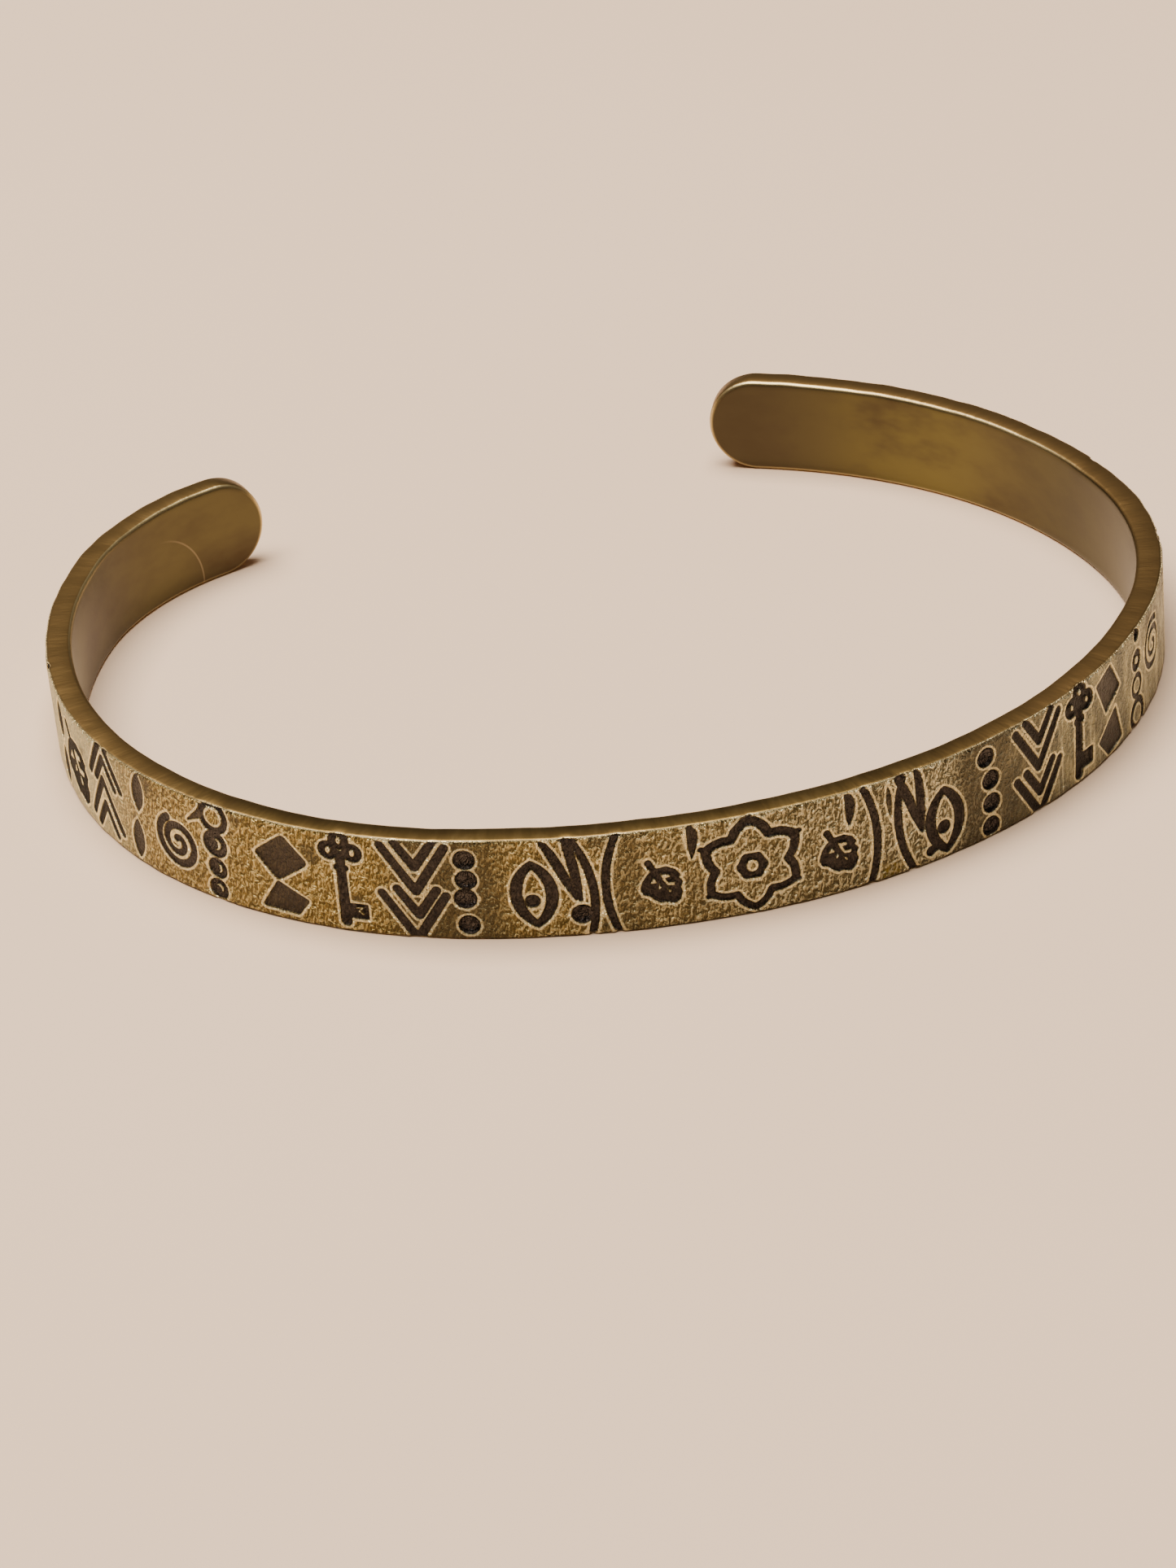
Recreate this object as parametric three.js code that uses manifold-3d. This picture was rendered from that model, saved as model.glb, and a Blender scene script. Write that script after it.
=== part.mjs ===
// A solid brass cuff bracelet: one flat strip with half-round ends, struck with small punches on
// its outer face and bent into an open oval. It rests on its lower edge. Millimetres, +Z up.
// The middle of the strip, with the flower stamp, faces -Y and the gap between the tips faces +Y.
import * as THREE from "three";
import { mergeVertices } from "three/addons/utils/BufferGeometryUtils.js";
import Module from "manifold-3d";

// The strip before it is bent: its length runs from the flower to the left and to the right tip
const LEFT_LENGTH = 80.9;
const RIGHT_LENGTH = 81.75;
const STRIP_HEIGHT = 6.35;
const STRIP_THICKNESS = 1.6;
const EDGE_EASE = 0.2;

// The bend: degrees that each stretch of the strip turns through, from the left tip to the right
const BEND_STRETCH = 16.3;
const BEND_OF_EACH_STRETCH = [55, 31, 32, 32, 22, 27, 30, 40, 31, 30];

// How finely the bend and the round tips are faceted
const BEND_STEPS = 60;
const TIP_STEPS = 6;
const TIP_LAST_ANGLE = 80;
const ARC_STEPS = 6;
const ROUND_SIDES = 12;
const MERGE_DISTANCE = 1e-5;

// How deep the punches are struck
const LINE_DEPTH = 0.21;
const DOT_DEPTH = 0.35;
const FACET_DEPTH = 0.12;
const PUNCH_PROUD = 0.6;

// The punches
const FLOWER_PETALS = 6;
const FLOWER_TIP_RADIUS = 3.08;
const FLOWER_SHOULDER_RADIUS = 2.74;
const FLOWER_VALLEY_RADIUS = 2.2;
const FLOWER_INSIDE_TIP_RADIUS = 2.42;
const FLOWER_INSIDE_SHOULDER_RADIUS = 2.22;
const FLOWER_INSIDE_VALLEY_RADIUS = 1.72;
const FLOWER_SHOULDER_ANGLE = 14;
const FLOWER_EYE_RADIUS = 0.86;
const FLOWER_EYE_BORE_RADIUS = 0.34;
const EYE_HEIGHT = 4.34;
const EYE_WIDTH = 2.64;
const EYE_OPENING_HEIGHT = 3.3;
const EYE_OPENING_WIDTH = 1.28;
const PUPIL_RADIUS = 0.42;
const PUPIL_DROP = 0.42;
const DOT_RADIUS = 0.6;
const TAIL_RADIUS = 0.31;
const RING_LINE = 0.38;
const LARGE_RING_RADIUS = 1.08;
const MIDDLE_RING_RADIUS = 0.85;
const SMALL_RING_RADIUS = 0.68;
const CHEVRON_LINE = 0.5;
const WIDE_CHEVRON_WIDTH = 3.6;
const WIDE_CHEVRON_RISE = 2.9;
const NARROW_CHEVRON_WIDTH = 2.3;
const NARROW_CHEVRON_RISE = 1.7;
const LEAF_LENGTH = 2.7;
const LEAF_WIDTH = 1.1;
const BLADE_LENGTH = 4.1;
const BLADE_WIDTH = 0.56;
const NICK_LENGTH = 2.05;
const NICK_WIDTH = 0.55;
const THIN_NICK_WIDTH = 0.32;
const CRESCENT_HEIGHT = 6.3;
const CRESCENT_BULGE = 0.88;
const CRESCENT_LINE = 0.5;
const LOZENGE_WIDTH = 3.1;
const LOZENGE_HEIGHT = 2.9;
const HALF_LOZENGE_HEIGHT = 1.95;
const KEY_LENGTH = 5.9;
const KEY_SHANK_WIDTH = 0.6;
const KEY_BOW_LOOP_RADIUS = 0.6;
const KEY_BOW_LOOP_BORE = 0.24;
const KEY_BIT_LENGTH = 1.1;
const KEY_BIT_HEIGHT = 0.95;
const ACORN_LENGTH = 2.3;
const ACORN_WIDTH = 2.0;
const ACORN_LINE = 0.38;
const ACORN_STALK_LENGTH = 0.8;
const ACORN_CUP_REACH = 0.9;
const ACORN_CUP_SAG = 0.35;
const SPIRAL_RADIUS = 1.65;
const SPIRAL_TURNS = 2;
const SPIRAL_LINE = 0.48;
const SPIRAL_HEART_RADIUS = 0.3;

// Where each punch is struck: along is its place from the middle of the strip, to the right as
// seen from outside, as a percentage of the stamped reach, up is its height above the lower edge
// as a percentage of the strip's height, and turn is in degrees
const STAMPED_REACH = 50;
const STRIKES = [
  { punch: "flower", along: -0.4, up: 51, turn: 1 },
  { punch: "acorn", along: -10.4, up: 46, turn: 0 },
  { punch: "nick", along: -6.8, up: 82, turn: 0 },
  { punch: "crescent", along: -15.3, up: 50, turn: 178 },
  { punch: "crescent", along: -18.9, up: 50, turn: 8 },
  { punch: "blade", along: -21.2, up: 67, turn: 24 },
  { punch: "blade", along: -19.9, up: 67, turn: 9 },
  { punch: "dot", along: -19.3, up: 22, turn: 0 },
  { punch: "eye", along: -24.3, up: 45, turn: 2 },
  { punch: "dot", along: -31.6, up: 81, turn: 0 },
  { punch: "dot", along: -31.6, up: 61, turn: 0 },
  { punch: "dot", along: -31.9, up: 42, turn: 0 },
  { punch: "dot", along: -31.7, up: 15, turn: 0 },
  { punch: "wide_chevron", along: -37.3, up: 71, turn: 0 },
  { punch: "narrow_chevron", along: -37.2, up: 86, turn: 0 },
  { punch: "wide_chevron", along: -37.6, up: 22, turn: 0 },
  { punch: "narrow_chevron", along: -37.2, up: 37, turn: 0 },
  { punch: "key", along: -45.7, up: 52, turn: 0 },
  { punch: "lozenge", along: -53.3, up: 65, turn: 0 },
  { punch: "half_lozenge", along: -53.3, up: 24, turn: 0 },
  { punch: "large_ring", along: -62.4, up: 89, turn: 0 },
  { punch: "middle_ring", along: -62.5, up: 61, turn: 0 },
  { punch: "small_ring", along: -62.7, up: 34, turn: 0 },
  { punch: "small_ring", along: -63.0, up: 11, turn: 0 },
  { punch: "spiral", along: -68.4, up: 46, turn: 116 },
  { punch: "leaf", along: -75.0, up: 77, turn: -7 },
  { punch: "leaf", along: -76.0, up: 26, turn: -6 },
  { punch: "wide_chevron", along: -82.6, up: 86, turn: 180 },
  { punch: "narrow_chevron", along: -82.6, up: 74, turn: 180 },
  { punch: "wide_chevron", along: -83.2, up: 40, turn: 180 },
  { punch: "narrow_chevron", along: -83.2, up: 24, turn: 180 },
  { punch: "acorn", along: -92.5, up: 44, turn: 0 },
  { punch: "leaf", along: -98.4, up: 73, turn: 0 },
  { punch: "leaf", along: -98.0, up: 26, turn: 0 },
  { punch: "crescent", along: -104, up: 50, turn: 180 },
  { punch: "acorn", along: 9.6, up: 43, turn: 0 },
  { punch: "nick", along: 11.1, up: 80, turn: 0 },
  { punch: "crescent", along: 12.9, up: 50, turn: 2 },
  { punch: "thin_nick", along: 15.9, up: 77, turn: 3 },
  { punch: "crescent", along: 18.2, up: 50, turn: 183 },
  { punch: "blade", along: 18.4, up: 67, turn: 20 },
  { punch: "blade", along: 19.7, up: 67, turn: 3 },
  { punch: "eye", along: 23.0, up: 39, turn: 1 },
  { punch: "tail", along: 20.9, up: 13, turn: 0 },
  { punch: "dot", along: 28.9, up: 83, turn: 0 },
  { punch: "dot", along: 29.5, up: 58, turn: 0 },
  { punch: "dot", along: 29.5, up: 35, turn: 0 },
  { punch: "dot", along: 29.3, up: 11, turn: 0 },
  { punch: "wide_chevron", along: 37.0, up: 68, turn: 0 },
  { punch: "narrow_chevron", along: 37.2, up: 84, turn: 0 },
  { punch: "wide_chevron", along: 37.0, up: 19, turn: 0 },
  { punch: "narrow_chevron", along: 37.1, up: 32, turn: 0 },
  { punch: "key", along: 44.5, up: 51, turn: -2 },
  { punch: "lozenge", along: 50.8, up: 71, turn: -6 },
  { punch: "lozenge", along: 51.4, up: 24, turn: -8 },
  { punch: "pupil", along: 58.8, up: 91, turn: 0 },
  { punch: "middle_ring", along: 58.8, up: 64, turn: 0 },
  { punch: "middle_ring", along: 58.8, up: 37, turn: 0 },
  { punch: "large_ring", along: 58.8, up: 8, turn: 0 },
  { punch: "spiral", along: 65.0, up: 56, turn: 116 },
  { punch: "leaf", along: 75.0, up: 77, turn: 0 },
  { punch: "leaf", along: 76.0, up: 26, turn: 0 },
  { punch: "wide_chevron", along: 82.6, up: 86, turn: 180 },
  { punch: "narrow_chevron", along: 82.6, up: 74, turn: 180 },
  { punch: "wide_chevron", along: 83.2, up: 40, turn: 180 },
  { punch: "narrow_chevron", along: 83.2, up: 24, turn: 180 },
  { punch: "acorn", along: 92.5, up: 44, turn: 0 },
  { punch: "leaf", along: 98.4, up: 73, turn: 0 },
  { punch: "leaf", along: 98.0, up: 26, turn: 0 },
  { punch: "crescent", along: 104, up: 50, turn: 0 },
];

const BRASS = new THREE.MeshStandardMaterial({ color: 0x9a8149, roughness: 0.42, metalness: 1 });

const FULL_TURN = 360;

const radians = THREE.MathUtils.degToRad;
const half = (size) => size / 2;

// The bent middle line of the strip, as one arc for each stretch of the bend

function bendArcs() {
  const leftBends = BEND_OF_EACH_STRETCH.slice(0, half(BEND_OF_EACH_STRETCH.length));
  let heading = -radians(leftBends.reduce((sum, bend) => sum + bend, 0));
  let start = new THREE.Vector2(0, 0);
  return BEND_OF_EACH_STRETCH.map((bend) => {
    const arc = { start, heading, radius: BEND_STRETCH / radians(bend) };
    start = pointOnArc(arc, BEND_STRETCH);
    heading += radians(bend);
    return arc;
  });
}

function pointOnArc(arc, travelled) {
  const reached = arc.heading + travelled / arc.radius;
  return new THREE.Vector2(
    arc.start.x + arc.radius * (Math.sin(reached) - Math.sin(arc.heading)),
    arc.start.y + arc.radius * (Math.cos(arc.heading) - Math.cos(reached)),
  );
}

const ARCS = bendArcs();

// A point of the bent strip: along from its middle, up from its lower edge and in from its outer face
function bentPoint(along, up, inward) {
  const travelled = along + half(BEND_STRETCH * ARCS.length);
  const row = THREE.MathUtils.clamp(Math.floor(travelled / BEND_STRETCH), 0, ARCS.length - 1);
  const arc = ARCS[row];
  const rest = travelled - row * BEND_STRETCH;
  const heading = arc.heading + rest / arc.radius;
  const place = pointOnArc(arc, rest);
  const offset = half(STRIP_THICKNESS) - inward;
  return new THREE.Vector3(
    place.x + offset * Math.sin(heading),
    place.y - offset * Math.cos(heading),
    up,
  );
}

// Stations along the strip: evenly round the bend, and by angle round each half-round tip

function stations() {
  const tipRadius = half(STRIP_HEIGHT);
  const bodyStart = tipRadius - LEFT_LENGTH;
  const bodyEnd = RIGHT_LENGTH - tipRadius;
  const tip = [];
  for (let step = 1; step <= TIP_STEPS; step += 1) {
    const angle = radians((TIP_LAST_ANGLE * step) / TIP_STEPS);
    tip.push({ reach: tipRadius * Math.sin(angle), spread: Math.cos(angle) });
  }
  const body = [];
  for (let step = 0; step <= BEND_STEPS; step += 1) {
    body.push({ along: THREE.MathUtils.lerp(bodyStart, bodyEnd, step / BEND_STEPS), spread: 1 });
  }
  const rightTip = tip.map(({ reach, spread }) => ({ along: bodyEnd + reach, spread }));
  const leftTip = tip.map(({ reach, spread }) => ({ along: bodyStart - reach, spread })).reverse();
  return [...leftTip, ...body, ...rightTip];
}

// The strip's cross section with eased corners, x in from the outer face and y up
function stripSection() {
  const section = new THREE.Shape();
  section.moveTo(EDGE_EASE, 0);
  section.lineTo(STRIP_THICKNESS - EDGE_EASE, 0);
  section.lineTo(STRIP_THICKNESS, EDGE_EASE);
  section.lineTo(STRIP_THICKNESS, STRIP_HEIGHT - EDGE_EASE);
  section.lineTo(STRIP_THICKNESS - EDGE_EASE, STRIP_HEIGHT);
  section.lineTo(EDGE_EASE, STRIP_HEIGHT);
  section.lineTo(0, STRIP_HEIGHT - EDGE_EASE);
  section.lineTo(0, EDGE_EASE);
  section.closePath();
  return section;
}

function bentStrip() {
  const rows = stations();
  const steps = rows.length - 1;
  const strip = new THREE.ExtrudeGeometry(stripSection(), { depth: steps, steps, bevelEnabled: false });
  return mapPoints(strip, ({ x, y, z }) => {
    const { along, spread } = rows[Math.round(z)];
    const middle = half(STRIP_HEIGHT);
    return bentPoint(along, middle + (y - middle) * spread, x);
  });
}

function mapPoints(geometry, move) {
  const positions = geometry.getAttribute("position");
  const point = new THREE.Vector3();
  for (let index = 0; index < positions.count; index += 1) {
    const moved = move(point.fromBufferAttribute(positions, index));
    positions.setXYZ(index, moved.x, moved.y, moved.z);
  }
  return geometry;
}

// Outlines that the punches are made of, x along the strip and y up, centred on the punch

function polygon(points) {
  return new THREE.Shape(points.map(([x, y]) => new THREE.Vector2(x, y)));
}

function roundPoints(radius, sides) {
  const points = [];
  for (let side = 0; side < sides; side += 1) {
    const angle = (2 * Math.PI * side) / sides;
    points.push([radius * Math.cos(angle), radius * Math.sin(angle)]);
  }
  return points;
}

function disc(radius) {
  return polygon(roundPoints(radius, ROUND_SIDES));
}

function withHole(shape, holePoints) {
  shape.holes.push(new THREE.Path(holePoints.map(([x, y]) => new THREE.Vector2(x, y))));
  return shape;
}

function ring(radius, line) {
  return withHole(disc(radius), roundPoints(radius - line, ROUND_SIDES));
}

// Points of a pointed oval, from two equal arcs that meet at its top and bottom
function pointedOvalPoints(length, width) {
  const rise = half(length);
  const bulge = half(width);
  const radius = (rise * rise + bulge * bulge) / (2 * bulge);
  const sweep = Math.asin(rise / radius);
  const side = (sign) => {
    const points = [];
    for (let step = 0; step < ARC_STEPS; step += 1) {
      const angle = THREE.MathUtils.lerp(-sweep, sweep, step / ARC_STEPS);
      points.push([sign * (radius * Math.cos(angle) - (radius - bulge)), sign * radius * Math.sin(angle)]);
    }
    return points;
  };
  return [...side(1), ...side(-1)];
}

// Points of a ring of round-shouldered petals, from the first tip on
function petalPoints(tipRadius, shoulderRadius, valleyRadius) {
  const points = [];
  const petalAngle = FULL_TURN / FLOWER_PETALS;
  for (let petal = 0; petal < FLOWER_PETALS; petal += 1) {
    const corners = [
      [-FLOWER_SHOULDER_ANGLE, shoulderRadius],
      [0, tipRadius],
      [FLOWER_SHOULDER_ANGLE, shoulderRadius],
      [half(petalAngle), valleyRadius],
    ];
    for (const [turn, radius] of corners) {
      const angle = Math.PI / 2 + radians(petal * petalAngle + turn);
      points.push([radius * Math.cos(angle), radius * Math.sin(angle)]);
    }
  }
  return points;
}

// A V with its point down, its lines as wide as the punch's line all the way
function chevron(width, rise) {
  const reach = half(width);
  const slope = Math.atan2(rise, reach);
  const lineDrop = CHEVRON_LINE / Math.cos(slope);
  const low = -half(rise);
  const high = half(rise);
  const lineAcross = CHEVRON_LINE / Math.sin(slope);
  return polygon([
    [0, low],
    [reach, high],
    [reach - lineAcross, high],
    [0, low + lineDrop],
    [lineAcross - reach, high],
    [-reach, high],
  ]);
}

// A thin arc that bulges to the right and tapers to its ends
function crescent() {
  const rise = half(CRESCENT_HEIGHT);
  const arcPoints = (bulge) => {
    const radius = (rise * rise + bulge * bulge) / (2 * bulge);
    const sweep = Math.asin(rise / radius);
    const points = [];
    for (let step = 0; step <= ARC_STEPS; step += 1) {
      const angle = THREE.MathUtils.lerp(-sweep, sweep, step / ARC_STEPS);
      points.push([radius * Math.cos(angle) - (radius - bulge), radius * Math.sin(angle)]);
    }
    return points;
  };
  const outer = arcPoints(CRESCENT_BULGE);
  const inner = arcPoints(CRESCENT_BULGE - CRESCENT_LINE).slice(1, -1).reverse();
  return polygon([...outer, ...inner]);
}

function lozenge() {
  const reach = half(LOZENGE_WIDTH);
  const rise = half(LOZENGE_HEIGHT);
  return polygon([[0, -rise], [reach, 0], [0, rise], [-reach, 0]]);
}

// The same lozenge struck so low that its lower part is flat
function halfLozenge() {
  const reach = half(LOZENGE_WIDTH);
  const rise = half(HALF_LOZENGE_HEIGHT);
  return polygon([[-reach, -rise], [half(reach), -rise], [reach, 0], [0, rise]]);
}

// An old key with a three-looped bow at the top and its bit at the lower right
function key() {
  const bowRise = half(KEY_LENGTH) - 2 * KEY_BOW_LOOP_RADIUS;
  const shankHalf = half(KEY_SHANK_WIDTH);
  const foot = -half(KEY_LENGTH);
  const bitFoot = foot + shankHalf;
  const loopReach = KEY_BOW_LOOP_RADIUS + half(KEY_BOW_LOOP_BORE);
  const loop = (x, y) => {
    const moved = (points) => points.map(([px, py]) => [px + x, py + y]);
    const outline = polygon(moved(roundPoints(KEY_BOW_LOOP_RADIUS, ROUND_SIDES)));
    return withHole(outline, moved(roundPoints(KEY_BOW_LOOP_BORE, ROUND_SIDES)));
  };
  return [
    loop(-loopReach, bowRise),
    loop(loopReach, bowRise),
    loop(0, bowRise + KEY_BOW_LOOP_RADIUS),
    polygon([
      [-shankHalf, foot],
      [shankHalf, foot],
      [shankHalf, bowRise],
      [-shankHalf, bowRise],
    ]),
    polygon([
      [0, bitFoot],
      [shankHalf + KEY_BIT_LENGTH, bitFoot],
      [shankHalf + KEY_BIT_LENGTH, bitFoot + KEY_BIT_HEIGHT],
      [0, bitFoot + KEY_BIT_HEIGHT],
    ]),
  ];
}

// An acorn hanging from its stalk: the rim of its nut, the sagging edge of its cup and the stalk
function acorn() {
  const reach = half(ACORN_WIDTH);
  const rise = half(ACORN_LENGTH);
  const lineHalf = half(ACORN_LINE);
  const oval = (inset) =>
    roundPoints(1, ROUND_SIDES).map(([x, y]) => [x * (reach - inset), y * (rise - inset)]);
  const cupEdge = (lift) => [
    [-ACORN_CUP_REACH, lift],
    [0, lift - ACORN_CUP_SAG],
    [ACORN_CUP_REACH, lift],
  ];
  const stalkTop = rise + half(ACORN_STALK_LENGTH);
  const stalkFoot = rise - half(ACORN_STALK_LENGTH);
  const stalkLean = half(ACORN_STALK_LENGTH);
  return [
    withHole(polygon(oval(0)), oval(ACORN_LINE)),
    polygon([...cupEdge(lineHalf), ...cupEdge(lineHalf + ACORN_LINE).reverse()]),
    polygon([
      [-lineHalf, stalkFoot],
      [lineHalf, stalkFoot],
      [lineHalf - stalkLean, stalkTop],
      [-lineHalf - stalkLean, stalkTop],
    ]),
  ];
}

// A spiral line that runs in from its outer end to its heart
function spiral() {
  const steps = SPIRAL_TURNS * ROUND_SIDES;
  const outerRadius = SPIRAL_RADIUS - half(SPIRAL_LINE);
  const edge = (offset) => {
    const points = [];
    for (let step = 0; step <= steps; step += 1) {
      const angle = (2 * Math.PI * step) / ROUND_SIDES;
      const radius = THREE.MathUtils.lerp(outerRadius, SPIRAL_HEART_RADIUS, step / steps) + offset;
      points.push([radius * Math.cos(angle), radius * Math.sin(angle)]);
    }
    return points;
  };
  return polygon([...edge(half(SPIRAL_LINE)), ...edge(-half(SPIRAL_LINE)).reverse()]);
}

// Each punch, with the outlines that it strikes and how deep it goes

const eyeOutline = () =>
  withHole(
    polygon(pointedOvalPoints(EYE_HEIGHT, EYE_WIDTH)),
    pointedOvalPoints(EYE_OPENING_HEIGHT, EYE_OPENING_WIDTH),
  );

const eyePupil = () => polygon(roundPoints(PUPIL_RADIUS, ROUND_SIDES).map(([x, y]) => [x, y - PUPIL_DROP]));

const flowerOutline = () =>
  withHole(
    polygon(petalPoints(FLOWER_TIP_RADIUS, FLOWER_SHOULDER_RADIUS, FLOWER_VALLEY_RADIUS)),
    petalPoints(FLOWER_INSIDE_TIP_RADIUS, FLOWER_INSIDE_SHOULDER_RADIUS, FLOWER_INSIDE_VALLEY_RADIUS),
  );

const flowerEye = () =>
  withHole(
    polygon(roundPoints(FLOWER_EYE_RADIUS, FLOWER_PETALS)),
    roundPoints(FLOWER_EYE_BORE_RADIUS, FLOWER_PETALS),
  );

const PUNCHES = {
  flower: { outlines: [flowerOutline(), flowerEye()], depth: LINE_DEPTH },
  eye: { outlines: [eyeOutline(), eyePupil()], depth: LINE_DEPTH },
  pupil: { outlines: [disc(PUPIL_RADIUS)], depth: LINE_DEPTH },
  tail: { outlines: [disc(TAIL_RADIUS)], depth: LINE_DEPTH },
  dot: { outlines: [disc(DOT_RADIUS)], depth: DOT_DEPTH },
  large_ring: { outlines: [ring(LARGE_RING_RADIUS, RING_LINE)], depth: LINE_DEPTH },
  middle_ring: { outlines: [ring(MIDDLE_RING_RADIUS, RING_LINE)], depth: LINE_DEPTH },
  small_ring: { outlines: [ring(SMALL_RING_RADIUS, RING_LINE)], depth: LINE_DEPTH },
  wide_chevron: { outlines: [chevron(WIDE_CHEVRON_WIDTH, WIDE_CHEVRON_RISE)], depth: LINE_DEPTH },
  narrow_chevron: { outlines: [chevron(NARROW_CHEVRON_WIDTH, NARROW_CHEVRON_RISE)], depth: LINE_DEPTH },
  leaf: { outlines: [polygon(pointedOvalPoints(LEAF_LENGTH, LEAF_WIDTH))], depth: LINE_DEPTH },
  blade: { outlines: [polygon(pointedOvalPoints(BLADE_LENGTH, BLADE_WIDTH))], depth: LINE_DEPTH },
  nick: { outlines: [polygon(pointedOvalPoints(NICK_LENGTH, NICK_WIDTH))], depth: LINE_DEPTH },
  thin_nick: { outlines: [polygon(pointedOvalPoints(NICK_LENGTH, THIN_NICK_WIDTH))], depth: FACET_DEPTH },
  crescent: { outlines: [crescent()], depth: LINE_DEPTH },
  lozenge: { outlines: [lozenge()], depth: FACET_DEPTH },
  half_lozenge: { outlines: [halfLozenge()], depth: FACET_DEPTH },
  key: { outlines: key(), depth: LINE_DEPTH },
  acorn: { outlines: acorn(), depth: LINE_DEPTH },
  spiral: { outlines: [spiral()], depth: LINE_DEPTH },
};

const wasm = await Module();
wasm.setup();

function toSolid(geometry) {
  geometry.deleteAttribute("normal");
  geometry.deleteAttribute("uv");
  const merged = mergeVertices(geometry, MERGE_DISTANCE);
  return new wasm.Manifold(
    new wasm.Mesh({
      numProp: 3,
      vertProperties: merged.getAttribute("position").array,
      triVerts: merged.index.array,
    }),
  );
}

// One outline of a punch, as a solid that stands proud of the outer face and reaches into it
function struckSolid(outline, depth, strike) {
  const punch = new THREE.ExtrudeGeometry(outline, { depth: depth + PUNCH_PROUD, bevelEnabled: false });
  const along = (STAMPED_REACH * strike.along) / 100;
  const up = (STRIP_HEIGHT * strike.up) / 100;
  const turn = radians(strike.turn);
  return toSolid(
    mapPoints(punch, ({ x, y, z }) =>
      bentPoint(
        along + x * Math.cos(turn) - y * Math.sin(turn),
        up + x * Math.sin(turn) + y * Math.cos(turn),
        depth - z,
      ),
    ),
  );
}

function stampedBand() {
  let band = toSolid(bentStrip());
  for (const strike of STRIKES) {
    const { outlines, depth } = PUNCHES[strike.punch];
    for (const outline of outlines) {
      band = band.subtract(struckSolid(outline, depth, strike));
    }
  }
  return band;
}

function toGeometry(solid) {
  const { vertProperties, triVerts } = solid.getMesh();
  const geometry = new THREE.BufferGeometry();
  geometry.setAttribute("position", new THREE.BufferAttribute(vertProperties, 3));
  geometry.setIndex(new THREE.BufferAttribute(triVerts, 1));
  return geometry;
}

function cuffBand() {
  const geometry = toGeometry(stampedBand());
  geometry.computeBoundingBox();
  const middle = geometry.boundingBox.getCenter(new THREE.Vector3());
  geometry.translate(-middle.x, -middle.y, 0);
  geometry.computeVertexNormals();
  const band = new THREE.Mesh(geometry, BRASS);
  band.name = "cuff_band";
  return band;
}

const bracelet = new THREE.Group();
bracelet.add(cuffBand());

export default bracelet;
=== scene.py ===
"""A cuff bracelet of solid brass strip, stamped on its outer face, antiqued and rubbed back.

The piece is made as the real one is: a flat blank with half-round ends and eased edges, struck
with small punches while it is flat, and then bent into an open oval. The flat blank is modelled
in millimetres, x along the strip from under the flower, y up from its lower edge and z out of
its outer face, and the bend puts it in the frame's metres.
"""
import math

import bmesh
import bpy
import numpy as np
from mathutils import Matrix, Vector


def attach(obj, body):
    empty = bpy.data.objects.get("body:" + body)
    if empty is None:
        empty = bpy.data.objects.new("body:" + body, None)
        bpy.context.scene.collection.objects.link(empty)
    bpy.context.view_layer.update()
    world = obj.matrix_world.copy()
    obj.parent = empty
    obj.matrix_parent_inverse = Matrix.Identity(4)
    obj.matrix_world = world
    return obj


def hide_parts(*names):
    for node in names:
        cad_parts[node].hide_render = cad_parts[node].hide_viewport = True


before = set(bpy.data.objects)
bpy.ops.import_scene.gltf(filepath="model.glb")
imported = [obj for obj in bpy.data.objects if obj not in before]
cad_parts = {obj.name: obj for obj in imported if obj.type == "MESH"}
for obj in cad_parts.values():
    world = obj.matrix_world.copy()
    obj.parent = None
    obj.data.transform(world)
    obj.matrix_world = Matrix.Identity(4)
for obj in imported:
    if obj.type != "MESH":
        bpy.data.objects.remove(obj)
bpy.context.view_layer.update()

MM = 0.001
PIECE = "cuff_band"

# The strip, in millimetres. Places along it are measured from a zero under the flower, to the left
# tip and to the right tip
LEFT_LENGTH = 80.9
RIGHT_LENGTH = 81.75
STRIP_HEIGHT = 6.35
STRIP_THICKNESS = 1.6
TIP_RADIUS = STRIP_HEIGHT / 2

# The bend: degrees that each stretch of the strip turns through, from the left tip to the right,
# and at how many places along it the bent outline is measured
BEND_STRETCH = 16.3
BEND_OF_EACH_STRETCH = (55, 31, 32, 32, 22, 27, 30, 40, 31, 30)
OUTLINE_PLACES = 2001

# How far the upper edge and the outer face waver, being hand-made, the waves along the strip that
# this is made of, in radians to a millimetre and where each starts, and their shares at the edge
EDGE_WAVER = 0.04
FACE_WAVER = 0.035
SLOW_WAVES = ((0.83, 0.6), (0.31, 0.0))
QUICK_WAVES = ((1.9, 1.1), (2.9, 0.0))
SLOW_SHARE = 0.7
QUICK_SHARE = 0.3

# How far in from the outline each ring of the edge lies, and how deep it is under the outer face
EDGE_RINGS = (
    (0.24, 0.00), (0.11, 0.03), (0.035, 0.10), (0.0, 0.24), (0.0, 0.80),
    (0.0, 1.32), (0.05, 1.46), (0.14, 1.56), (0.30, 1.60),
)

# The blank's cells and how close to a stamp's outline they are halved, once and twice
CELL = 0.30
FIRST_HALVING = 0.26
SECOND_HALVING = 0.12

# How deep the punches go, how black their floors are, how steep their walls are, how their burr
# stands up and how far below the outer face all of it ends
LINE_DEPTH = 0.15
BOWL_DEPTH = 0.34
BOWL_EDGE_DEPTH = 0.12
FACET_DEPTH = 0.1
LINE_BLACK = 0.9
BOWL_BLACK = 1.0
FACET_BLACK = 0.66
WALL_RUN = 0.11
WALL_START = 0.4
STAMPED_SKIN = 0.3
BURR_HEIGHT = 0.02
BURR_MIDDLE = 0.085
BURR_SPREAD = 0.08

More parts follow.
